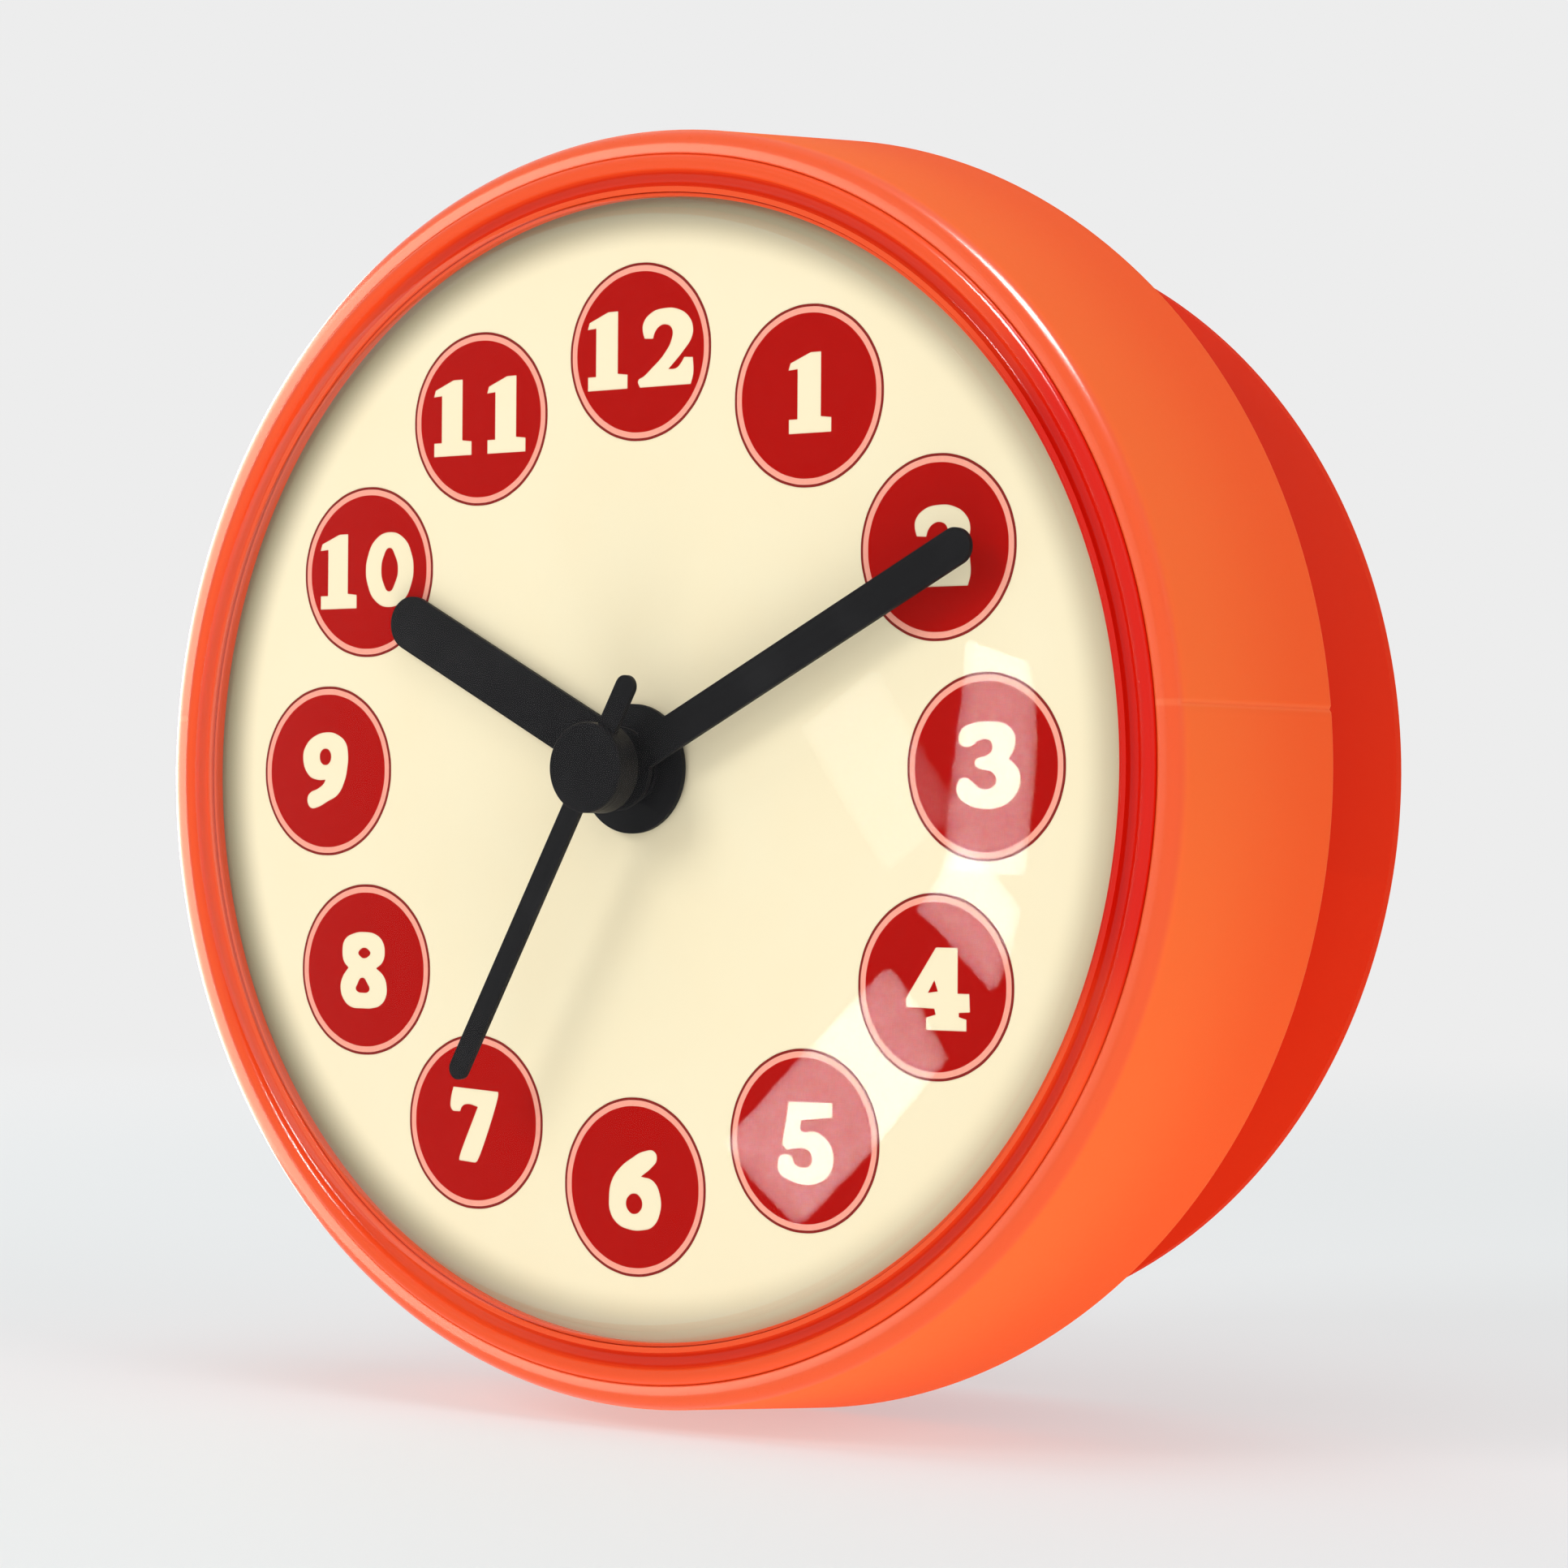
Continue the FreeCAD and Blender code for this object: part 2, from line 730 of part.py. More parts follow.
def screws():
    longScrews = []
    for index, bearing in enumerate(bearings(count("screw_count"))):
        x, z = spot(screwCircle, bearing)
        longScrews.append(screw(
            f"case_screw_{index}", x, z, atDepth(screwSeat),
            size.screw_radius, size.screw_length, size.head_radius, size.head_height,
        ))
    node(joined("case_screws", longScrews), "case_screws")
    shortScrews = []
    for index, (x, z) in enumerate(earPlaces):
        shortScrews.append(screw(
            f"movement_screw_{index}", x, z, atDepth(earBack), size.small_screw_radius,
            size.small_screw_length, size.small_head_radius, size.small_head_height,
        ))
    node(joined("movement_screws", shortScrews), "movement_screws")


# Hands. Each blade has a round end and is pressed on its pipe or arbor.

def blade(name, tipGap, width, tail, lift, bearing):
    length = windowRadius - tipGap
    front = atLift(lift + size.hand_thickness)
    back = atLift(lift)
    half = width / 2
    x, z = spot(length - half, bearing)
    return [
        block(f"{name}_blade", -half, half, front, back, -tail, length - half, bearing),
        rod(f"{name}_tip", half, front, back, x, z),
    ]


def hands():
    hourFront = atLift(size.hour_lift + size.hand_thickness)
    hour = blade("hour", size.hour_tip_gap, size.hour_width, zero, size.hour_lift, size.hour_bearing)
    hour.append(rod("hour_hub", size.hour_hub, hourFront, atLift(size.hour_lift)))
    hour.append(rod("hour_collar", size.hour_collar, hourFront - size.hour_collar_height, hourFront))
    pipeFront = hourFront - size.hour_collar_height
    hole = rod("hour_hand_hole", size.hour_pipe_radius, pipeFront, atLift(size.hour_lift))
    node(cutFrom("hour_hand", joined("hour_solid", hour), [hole]), "hour_hand")

    minuteFront = atLift(size.minute_lift + size.hand_thickness)
    minuteBack = atLift(size.minute_lift) + size.minute_collar_height
    minute = blade(
        "minute", size.minute_tip_gap, size.minute_width, zero, size.minute_lift, size.minute_bearing,
    )
    minute.append(rod("minute_hub", size.minute_hub, minuteFront, atLift(size.minute_lift)))
    minute.append(rod("minute_collar", size.minute_collar, atLift(size.minute_lift), minuteBack))
    hole = rod("minute_hand_hole", size.minute_arbor_radius, minuteFront, minuteBack)
    node(cutFrom("minute_hand", joined("minute_solid", minute), [hole]), "minute_hand")

    secondFront = atLift(size.second_lift + size.hand_thickness)
    secondBack = atLift(size.second_lift) + size.second_hub_height
    second = blade(
        "second", size.second_tip_gap, size.second_width, size.second_tail,
        size.second_lift, size.second_bearing,
    )
    second.append(rod("second_hub", size.second_hub, secondFront, secondBack))
    hole = rod("second_hand_hole", size.seconds_arbor_radius, secondFront, secondBack)
    node(cutFrom("second_hand", joined("second_solid", second), [hole]), "second_hand")

    cap = turned("second_hand_cap", [
        (zero, capFront),
        (size.second_hub - size.cap_round, capFront, size.cap_round),
        (size.second_hub, capFront + size.cap_round),
        (size.second_hub, secondFront),
        (zero, secondFront),
    ])
    node(cap, "second_hand_cap")


# Case of the movement: a tray open to the rear, with the battery bay below the works.

def movementHousing():
    front = atDepth(plateBack)
    wall = atDepth(wallBack)
    worksBack = atDepth(coverDepth)
    bayBack = atDepth(movementDepth)
    bushFront = atLift(size.hour_lift - size.bush_gap)
    solids = [
        block("tray_works", -housingSide, housingSide, front, worksBack, housingBottom, housingTop),
        block("tray_bay", -housingSide, housingSide, worksBack, bayBack, housingBottom, bayTop),
        rod("tray_bush", size.bush_radius, bushFront, front),
    ]
    hollows = [
        block("works_hollow", -worksSide, worksSide, wall, worksBack, worksBottom, worksTop),
        block("bay_hollow", -worksSide, worksSide, wall, bayBack, bayBottom, bayTop),
    ]
    fittings = []
    for index, (x, z) in enumerate(bridgeCorners()):
        fittings.append(rod(f"bridge_pillar_{index}", size.pillar_radius, wall, bridgeLayer[0], x, z))
    for index, (x, z) in enumerate(boardCorners()):
        pegBack = wall + size.board_lift
        fittings.append(rod(f"board_peg_{index}", size.peg_radius, wall, pegBack, x, z))
    for index, (x, z) in enumerate(earPlaces):
        ear = (atDepth(earFront), atDepth(earBack))
        fittings.append(rod(f"ear_{index}", size.ear_radius, *ear, x, z))
        left, right = (housingSide, x) if x.value > 0 else (x, -housingSide)
        bottom = z - size.ear_radius
        fittings.append(block(f"ear_root_{index}", left, right, *ear, bottom, z + size.ear_radius))
    holes = [
        rod("bush_bore", bushBore, bushFront, wall),
        rod("motion_bearing_hole", motionBore, wall - size.bearing_depth, wall, *motionAxis),
    ]
    for index, (x, z) in enumerate(earPlaces):
        holes.append(rod(
            f"ear_hole_{index}", size.small_screw_radius + size.hole_gap,
            atDepth(earFront), atDepth(earBack), x, z,
        ))
    tray = cutFrom("tray_hollowed", joined("tray_blank", solids), hollows)
    fitted = joined("tray_fitted", [tray] + fittings)
    node(cutFrom("movement_housing", fitted, holes), "movement_housing")


def bridgeCorners():
    inset = size.pillar_inset
    for x in (bridgeLeft + inset, size.bridge_right - inset):
        for z in (bridgeBottom + inset, size.bridge_top - inset):
            yield x, z


def boardCorners():
    inset = size.board_inset
    for x in (boardRight - size.board_width + inset, boardRight - inset):
        for z in (boardTop - size.board_height + inset, boardTop - inset):
            yield x, z


def trainBridge():
    plate = block(
        "bridge_plate", bridgeLeft, size.bridge_right, *bridgeLayer, bridgeBottom, size.bridge_top,
    )
    holes = [
        rod("bridge_minute_hole", minuteBore, *bridgeLayer),
        rod("bridge_motion_hole", motionBore, *bridgeLayer, *motionAxis),
    ]
    for index, axis in enumerate(trainAxes):
        holes.append(rod(f"bridge_pivot_{index}", pivotBore, *bridgeLayer, *axis))
    node(cutFrom("train_bridge", plate, holes), "train_bridge")


def movementCover():
    statorBack = atDepth(statorDepth + size.stator_thickness)
    front = atDepth(coverDepth)
    back = atDepth(movementDepth)
    bearingBack = front + size.bearing_depth
    lid = block("cover_lid", -housingSide, housingSide, front, back, bayTop, housingTop)
    pegs = []
    for side in (-1, 1):
        x = rotorX + side * (coreHalf - size.leg_width / 2)
        pegs.append(rod(f"stator_peg_{side + 1}", size.peg_radius, statorBack, front, x, rotorZ))
    holes = [
        rod("cover_motion_hole", motionBore, front, back, *motionAxis),
        rod("cover_seconds_bearing", arborBore, front, bearingBack),
    ]
    for index, axis in enumerate(trainAxes):
        holes.append(rod(f"cover_bearing_{index}", pivotBore, front, bearingBack, *axis))
    node(cutFrom("movement_cover", joined("cover_with_pegs", [lid] + pegs), holes), "movement_cover")


# Motion work, in front of the bridge: the hour hand turns twelve times slower than the minute hand.

def minuteArbor():
    front = atLift(size.minute_lift + size.hand_thickness)
    back = centreLayer[1] + size.end_play
    tube = joined("minute_solid_arbor", [
        rod("minute_tube", size.minute_arbor_radius, front, back),
        pinion("cannon", cannonModule, motionLayer, centreAxis, size.motion_bearing),
    ])
    bore = rod("minute_bore", arborBore, front, back)
    node(cutFrom("minute_arbor", tube, [bore]), "minute_arbor")


def motionWheel():
    towardsCentre = size.motion_bearing + 180
    front = atDepth(wallBack) - size.bearing_depth + size.end_play
    works = joined("motion_wheel", [
        wheel("motion", cannonModule, motionLayer, motionAxis, towardsCentre),
        pinion("motion_pinion", size.motion_module, hourLayer, motionAxis, towardsCentre),
        rod("motion_arbor", size.motion_arbor_radius, front, atDepth(knobDepth), *motionAxis),
    ])
    node(works, "motion_wheel")


def hourWheel():
    front = atLift(size.hour_lift + size.hand_thickness) - size.hour_collar_height
    back = hourLayer[1]
    solid = joined("hour_wheel_solid", [
        wheel("hour", size.motion_module, hourLayer, centreAxis, size.motion_bearing),
        rod("hour_pipe", size.hour_pipe_radius, front, back),
    ])
    node(cutFrom("hour_wheel", solid, [rod("hour_bore", minuteBore, front, back)]), "hour_wheel")


def settingKnob():
    front = atDepth(movementDepth + size.knob_gap)
    back = atDepth(knobDepth)
    disc = rod("knob_disc", size.knob_radius, front, back, *motionAxis)
    cuts = [rod("knob_hole", size.motion_arbor_radius, front, back, *motionAxis)]
    for index, bearing in enumerate(bearings(count("knob_grooves"))):
        x, z = spot(size.knob_radius, bearing, *motionAxis)
        cuts.append(rod(f"knob_groove_{index}", size.groove_radius, front, back, x, z))
    node(cutFrom("setting_knob", disc, cuts), "setting_knob")


# Going train, behind the bridge: rotor, intermediate wheel, seconds wheel, third and centre wheels.

def pivotRod(name, axis):
    front = bridgeLayer[0] + size.end_play
    back = atDepth(coverDepth) + size.bearing_depth - size.end_play
    return rod(name, size.pivot_radius, front, back, *axis)


def rotor():
    towardsWheel = size.rotor_bearing + 180
    magnetFront = atDepth(magnetDepth)
    magnetBack = magnetFront + size.magnet_height
    node(joined("rotor", [
        pinion("rotor", size.rotor_module, intermediateLayer, rotorAxis, towardsWheel),
        rod("rotor_magnet", size.magnet_radius, magnetFront, magnetBack, *rotorAxis),
        pivotRod("rotor_arbor", rotorAxis),
    ]), "rotor")


def intermediateWheel():
    towardsCentre = size.intermediate_bearing + 180
    axis = intermediateAxis
    node(joined("intermediate_wheel", [
        wheel("intermediate", size.rotor_module, intermediateLayer, axis, size.rotor_bearing),
        pinion("intermediate_pinion", size.seconds_module, secondsLayer, axis, towardsCentre),
        pivotRod("intermediate_arbor", axis),
    ]), "intermediate_wheel")


def secondsWheel():
    front = atLift(size.second_lift + size.hand_thickness)
    back = atDepth(coverDepth) + size.bearing_depth - size.end_play
    node(joined("seconds_wheel", [
        wheel("seconds", size.seconds_module, secondsLayer, centreAxis, size.intermediate_bearing),
        pinion("second_pinion", size.third_module, thirdLayer, centreAxis, size.third_bearing),
        rod("seconds_arbor", size.seconds_arbor_radius, front, back),
    ]), "seconds_wheel")


def thirdWheel():
    towardsCentre = size.third_bearing + 180
    node(joined("third_wheel", [
        wheel("third", size.third_module, thirdLayer, thirdAxis, towardsCentre),
        pinion("third_pinion", centreModule, centreLayer, thirdAxis, towardsCentre),
        pivotRod("third_arbor", thirdAxis),
    ]), "third_wheel")


def centreWheel():
    ring = wheel("centre", centreModule, centreLayer, centreAxis, size.third_bearing)
    node(cutFrom("centre_wheel", ring, [rod("centre_bore", minuteBore, *centreLayer)]), "centre_wheel")


# Step motor and circuit.

def coil():
    coilY = atDepth(coilDepth)
    side = size.core_width / 2
    half = size.coil_length / 2
    outer = half + size.flange_width
    bar = block(
        "coil_core", rotorX - coreHalf, rotorX + coreHalf,
        coilY - side, coilY + side, coreZ - side, coreZ + side,
    )
    node(bar, "coil_core")
    spool = joined("bobbin_blank", [
        crossRod("bobbin_tube", size.bobbin_radius, rotorX - half, rotorX + half, coilY, coreZ),
        crossRod("bobbin_left", flangeRadius, rotorX - outer, rotorX - half, coilY, coreZ),
        crossRod("bobbin_right", flangeRadius, rotorX + half, rotorX + outer, coilY, coreZ),
    ])
    side = side + size.running_gap
    bore = block(
        "bobbin_bore", rotorX - outer, rotorX + outer,
        coilY - side, coilY + side, coreZ - side, coreZ + side,
    )
    node(cutFrom("coil_bobbin", spool, [bore]), "coil_bobbin")
    winding = crossRod("winding_outside", coilRadius, rotorX - half, rotorX + half, coilY, coreZ)
    inside = crossRod("winding_inside", size.bobbin_radius, rotorX - half, rotorX + half, coilY, coreZ)
    node(cutFrom("coil_winding", winding, [inside]), "coil_winding")


def stator():
    span = (atDepth(statorDepth), atDepth(statorDepth + size.stator_thickness))
    top = coreZ + size.core_width / 2
    solids = [block(
        "stator_base", rotorX - coreHalf, rotorX + coreHalf, *span,
        rotorZ - size.stator_frame, rotorZ + size.stator_frame,
    )]
    for index, left in enumerate((rotorX - coreHalf, rotorX + coreHalf - size.leg_width)):
        solids.append(block(f"stator_leg_{index}", left, left + size.leg_width, *span, rotorZ, top))
    hole = rod("rotor_hole", size.magnet_radius + size.rotor_hole_gap, *span, *rotorAxis)
    node(cutFrom("stator", joined("stator_blank", solids), [hole]), "stator")


def circuit():
    front = atDepth(wallBack) + size.board_lift
    back = front + size.board_thickness
    left = boardRight - size.board_width
    bottom = boardTop - size.board_height
    middle = boardRight - size.board_width / 2
    board = block("circuit_board", left, boardRight, front, back, bottom, boardTop)
    node(board, "circuit_board")

    # the potting is a flat drop: a ball cut by the board's rear face
    ballRadius = arch(2 * size.chip_radius, size.chip_height)
    ball = doc.addObject("Part::Sphere", "chip_ball")
    bind(ball, {"Radius": ballRadius})
    chipZ = bottom + size.chip_inset
    place(ball, middle, back + size.chip_height - ballRadius, chipZ)
    keep = block(
        "chip_space", middle - size.chip_radius, middle + size.chip_radius, back, back + size.chip_height,
        chipZ - size.chip_radius, chipZ + size.chip_radius,
    )
    drop = doc.addObject("Part::Common", "clock_chip")
    drop.Base = ball
    drop.Tool = keep
    node(drop, "clock_chip")

    half = size.crystal_length / 2
    can = crossRod(
        "quartz_crystal", size.crystal_radius, middle - half, middle + half,
        back + size.crystal_radius + size.running_gap, boardTop - size.crystal_inset,
    )
    node(can, "quartz_crystal")


# Battery cell and its contacts. The button of the cell points to the right.

def battery():
    half = size.cell_length / 2
    cellY = atDepth(cellDepth)
    shoulder = half - size.nub_length
    node(joined("battery_cell", [
        crossRod("cell_can", size.cell_radius, -half, shoulder, cellY, cellZ),
        crossRod("cell_nub", size.nub_radius, shoulder, half, cellY, cellZ),
    ]), "battery_cell")
    contact("contact_plus", 1)
    contact("contact_minus", -1)


def contact(name, side):
    # a strip bent to a channel: along the bay's end wall, across its front wall and up at the cell
    front = atDepth(wallBack)
    leaf = size.contact_thickness
    near = size.cell_length / 2 + size.end_play
    spans = [
        (worksSide - leaf, worksSide, front + size.contact_height),
        (near, worksSide, front + leaf),
        (near, near + leaf, front + size.contact_height),
    ]
    bars = []
    for index, (inner, outer, back) in enumerate(spans):
        left, right = (inner, outer) if side > 0 else (-outer, -inner)
        bars.append(block(
            f"{name}_bar_{index}", left, right, front, back,
            cellZ - size.contact_width / 2, cellZ + size.contact_width / 2,
        ))
    node(joined(name, bars), name)


siliconeSleeve()
bezelRing()
lensAndSeal()
dial()
rearCase()
screws()
hands()
movementHousing()
trainBridge()
movementCover()
minuteArbor()
motionWheel()
hourWheel()
settingKnob()
rotor()
intermediateWheel()
secondsWheel()
thirdWheel()
centreWheel()
coil()
stator()
circuit()
battery()
doc.recompute()

for thing in doc.Objects:
    if "Invalid" in thing.State or "Error" in thing.State:
        raise RuntimeError(f"{thing.Name} failed: {thing.State}")
for thing in nodes:
    if thing.Shape.isNull() or not thing.Shape.isValid() or not thing.Shape.Solids:
        raise RuntimeError(f"{thing.Label} has no valid solid")

os.makedirs("parts", exist_ok=True)
for thing in nodes:
    thing.Shape.exportStep(f"parts/{thing.Label}.step")
print(f"{len(nodes)} nodes, {standOff.value:.1f} mm from ring to wall")
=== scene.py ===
import math

import bpy
from mathutils import Matrix, Vector


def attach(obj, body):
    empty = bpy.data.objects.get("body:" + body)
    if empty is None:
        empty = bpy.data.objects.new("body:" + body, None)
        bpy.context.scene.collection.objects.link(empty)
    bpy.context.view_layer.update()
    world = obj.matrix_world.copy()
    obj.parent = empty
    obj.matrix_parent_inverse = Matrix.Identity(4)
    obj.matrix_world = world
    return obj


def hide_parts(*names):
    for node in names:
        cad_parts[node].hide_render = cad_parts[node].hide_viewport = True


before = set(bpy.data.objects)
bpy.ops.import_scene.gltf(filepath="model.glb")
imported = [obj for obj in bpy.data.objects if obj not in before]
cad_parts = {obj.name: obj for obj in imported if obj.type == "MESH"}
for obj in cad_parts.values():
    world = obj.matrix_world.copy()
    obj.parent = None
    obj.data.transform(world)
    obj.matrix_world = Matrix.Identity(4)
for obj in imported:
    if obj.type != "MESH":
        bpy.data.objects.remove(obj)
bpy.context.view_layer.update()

# A waterproof shower clock in a silicone sleeve with a suction cup. Sizes in the dictionaries are
# millimetres. Y runs into the wall, the dial faces -Y and the clock's axis is the Y axis. A
# bearing is clockwise from twelve as the viewer sees it.

mm = 0.001
perMetre = 1000.0  # millimetres in a metre
weld = 1e-7  # metres, the gap under which two points become one


def spot(distance, bearing):
    angle = math.radians(bearing)
    return distance * math.sin(angle), distance * math.cos(angle)


def deselectAll():
    if bpy.context.object and bpy.context.object.mode != "OBJECT":
        bpy.ops.object.mode_set(mode="OBJECT")
    bpy.ops.object.select_all(action="DESELECT")


# Turned pieces. An outline is a list of (radius, y) points that goes round the section with the
# solid on its left. A third value is the radius of an arc to the next point, negative for a hollow.

def arcPoints(start, end, radius, leastSteps=8, halfStep=3):
    along = end - start
    half = math.asin(along.length / 2 / radius)
    along.normalize()
    right = Vector((along.y, -along.x))
    steps = max(leastSteps, math.ceil(abs(math.degrees(half)) / halfStep))
    points = []
    for step in range(1, steps):
        angle = half * (2 * step / steps - 1)
        across = right * radius * (math.cos(angle) - math.cos(half))
        points.append((start + end) / 2 + along * radius * math.sin(angle) + across)
    return points


def archRadius(halfWidth, height):
    return (halfWidth ** 2 + height ** 2) / (2 * height)


def turned(outline, sides=256):
    points = []
    for corner, following in zip(outline, outline[1:] + outline[:1]):
        here = Vector(corner[:2])
        points.append(here)
        if len(corner) > 2:
            points += arcPoints(here, Vector(following[:2]), corner[2])
    closed = points[0].x > 0
    ring = [Vector((point.x * mm, point.y * mm, 0)) for point in points]
    deselectAll()
    bpy.ops.mesh.primitive_plane_add(size=mm)
    bpy.ops.object.mode_set(mode="EDIT")
    bpy.ops.mesh.merge(type="CENTER")
    bpy.ops.transform.translate(value=ring[0])
    for start, end in zip(ring, ring[1:] + ring[:1] if closed else ring[1:]):
        bpy.ops.mesh.extrude_vertices_move(TRANSFORM_OT_translate={"value": end - start})
    bpy.ops.mesh.select_all(action="SELECT")
    bpy.ops.mesh.remove_doubles(threshold=weld)
    bpy.ops.mesh.spin(steps=sides, angle=math.tau, center=(0, 0, 0), axis=(0, 1, 0))
    bpy.ops.mesh.select_all(action="SELECT")
    bpy.ops.mesh.remove_doubles(threshold=weld)
    bpy.ops.mesh.normals_make_consistent(inside=False)
    bpy.ops.object.mode_set(mode="OBJECT")
    return bpy.context.object


def useModifier(piece, kind, **settings):
    bpy.context.view_layer.objects.active = piece
    modifier = piece.modifiers.new(kind.title(), kind)
    for name, value in settings.items():
        setattr(modifier, name, value)
    bpy.ops.object.modifier_apply(modifier=modifier.name)


# Flat pieces: closed outlines of (x, z) points, with holes where one lies inside another. A third
# value marks a point that the outline passes smoothly.

plateSet = {"curveSteps": 6, "flatAngle": 0.1, "edgeSegments": 3}


def flatPlate(outlines, front, back, edge=0.0):
    deselectAll()
    curve = bpy.data.curves.new("outline", "CURVE")
    curve.dimensions = "2D"
    curve.fill_mode = "BOTH"
    curve.resolution_u = plateSet["curveSteps"]
    for outline in outlines:
        spline = curve.splines.new("BEZIER")
        spline.bezier_points.add(len(outline) - 1)
        spline.use_cyclic_u = True
        for point, place in zip(spline.bezier_points, outline):
            point.co = (place[0] * mm, place[1] * mm, 0)
            kind = "AUTO" if len(place) > 2 else "VECTOR"
            point.handle_left_type = kind
            point.handle_right_type = kind
    piece = bpy.data.objects.new("plate", curve)
    bpy.context.scene.collection.objects.link(piece)
    piece.select_set(True)
    bpy.context.view_layer.objects.active = piece
    bpy.ops.object.convert(target="MESH")
    piece = bpy.context.object
    piece.rotation_euler = (math.radians(90), 0, 0)
    piece.location = (0, back * mm, 0)
    bpy.ops.object.transform_apply(location=True, rotation=True, scale=True)
    bpy.ops.object.mode_set(mode="EDIT")
    bpy.ops.mesh.select_all(action="SELECT")
    bpy.ops.mesh.remove_doubles(threshold=weld)
    bpy.ops.mesh.dissolve_limited(angle_limit=math.radians(plateSet["flatAngle"]))
    bpy.ops.mesh.extrude_region_move(TRANSFORM_OT_translate={"value": (0, (front - back) * mm, 0)})
    bpy.ops.mesh.select_all(action="SELECT")
    bpy.ops.mesh.normals_make_consistent(inside=False)
    bpy.ops.object.mode_set(mode="OBJECT")
    if edge:
        segments = plateSet["edgeSegments"]
        useModifier(piece, "BEVEL", width=edge * mm, segments=segments, limit_method="ANGLE")
    return piece


def circleOutline(radius, x=0.0, z=0.0, points=24):
    places = [spot(radius, 360 * index / points) for index in range(points)]
    return [(x + across, z + up, "smooth") for across, up in places]


def arc(radius, start, end, along=0.0, step=6):
    # (across, along) points round a centre on the long axis, from one bearing to another
    count = max(2, round(abs(end - start) / step))
    places = [spot(radius, start + (end - start) * index / count) for index in range(count + 1)]
    return [(across, along + up) for across, up in places]


def turnedBy(points, bearing):
    turn = math.radians(bearing)
    return [
        (across * math.cos(turn) + along * math.sin(turn), along * math.cos(turn) - across * math.sin(turn))
        for across, along in points
    ]


def joinPieces(pieces):
    deselectAll()
    for piece in pieces:
        piece.select_set(True)
    bpy.context.view_layer.objects.active = pieces[0]
    bpy.ops.object.join()
    return bpy.context.object


def combine(piece, operation, tool):
    useModifier(piece, "BOOLEAN", operation=operation, object=tool, solver="EXACT")
    bpy.data.objects.remove(tool)


def finishPiece(piece, name, body, look, replaced=(), smoothAngle=30):
    deselectAll()
    piece.select_set(True)
    bpy.context.view_layer.objects.active = piece
    bpy.ops.object.shade_smooth_by_angle(angle=math.radians(smoothAngle))
    piece.name = name
    piece.data.name = name
    piece.data.materials.clear()
    piece.data.materials.append(look)
    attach(piece, body)
    if replaced:
        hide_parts(*replaced)
    return piece


# Shader maths: a Wire is a socket that can be added to, multiplied and so on.

class Wire:
    def __init__(self, look, socket):
        self.look = look
        self.socket = socket

    def maths(self, operation, other, third=None):
        values = {0: self, 1: other}
        if third is not None:
            values[2] = third
        return self.look.node("ShaderNodeMath", {"operation": operation}, values)

    def __add__(self, other):
        return self.maths("ADD", other)

    def __radd__(self, other):
        return self.maths("ADD", other)

    def __sub__(self, other):
        return self.maths("SUBTRACT", other)

    def __rsub__(self, other):
        return (self * -1).maths("ADD", other)

    def __mul__(self, other):
        return self.maths("MULTIPLY", other)

    def __rmul__(self, other):
        return self.maths("MULTIPLY", other)

    def __pow__(self, other):
        return self.maths("POWER", other)


class Look:
    # a material or a world, and the nodes it is made of
    def __init__(self, made):
        self.made = made
        made.use_nodes = True
        self.tree = made.node_tree
        self.tree.nodes.clear()

    def node(self, kind, settings=None, values=None, output=0):
        made = self.tree.nodes.new(kind)
        for name, value in (settings or {}).items():
            setattr(made, name, value)
        for name, value in (values or {}).items():
            if isinstance(value, Wire):
                self.tree.links.new(value.socket, made.inputs[name])
            else:
                made.inputs[name].default_value = value
        return Wire(self, made.outputs[output]) if made.outputs else None

    def places(self):
        return self.node("ShaderNodeTexCoord", output=3)

    def axes(self):
        made = self.node("ShaderNodeSeparateXYZ", None, {0: self.places()}).socket.node
        return [Wire(self, output) for output in made.outputs]

    def noise(self, scale, detail=2.0, stretch=None):
        places = self.places()
        if stretch:
            places = self.node("ShaderNodeMapping", None, {"Vector": places, "Scale": stretch})
        return self.node("ShaderNodeTexNoise", None, {"Vector": places, "Scale": scale, "Detail": detail})

    def step(self, value, low, high):
        # 0 at low, 1 at high and smooth between
        return self.node(
            "ShaderNodeMapRange", {"interpolation_type": "SMOOTHSTEP"}, {0: value, 1: low, 2: high},
        )

    def blend(self, mask, first, second):
        return self.node("ShaderNodeMix", {"data_type": "RGBA"}, {0: mask, 6: first, 7: second}, 2)

    def around(self, middle, pattern, spread):
        # a value that a pattern from 0 to 1 moves up and down by half the spread
        return middle + (pattern - 0.5) * spread

    def bump(self, height, depth):
        return self.node("ShaderNodeBump", None, {"Height": height, "Distance": depth * mm, "Strength": 1.0})

    def principled(self, values):
        return self.node("ShaderNodeBsdfPrincipled", None, values)

    def finish(self, shader):
        kind = "World" if isinstance(self.made, bpy.types.World) else "Material"
        self.node(f"ShaderNodeOutput{kind}", None, {"Surface": shader})
        return self.made


def newLook(name):
    return Look(bpy.data.materials.new(name))


def tone(red, green, blue):
    # a colour as it is seen on a screen, 0 to 255, as the shaders take it
    linear = []
    for value in (red / 255, green / 255, blue / 255):
        linear.append(value / 12.92 if value <= 0.04045 else ((value + 0.055) / 1.055) ** 2.4)
    return (*linear, 1.0)


def shaded(shade, share):
    return (*(value * share for value in shade[:3]), 1.0)


# Camera, at the photograph's viewing angle.

cameraSet = {"azimuth": 36.336, "elevation": -0.768, "roll": 0.354, "distance": 316.6,
             "aim": (9.65, -31.488, -1.09), "lens": 96.44, "sensor": 36, "nearest": 0.01, "farthest": 20}


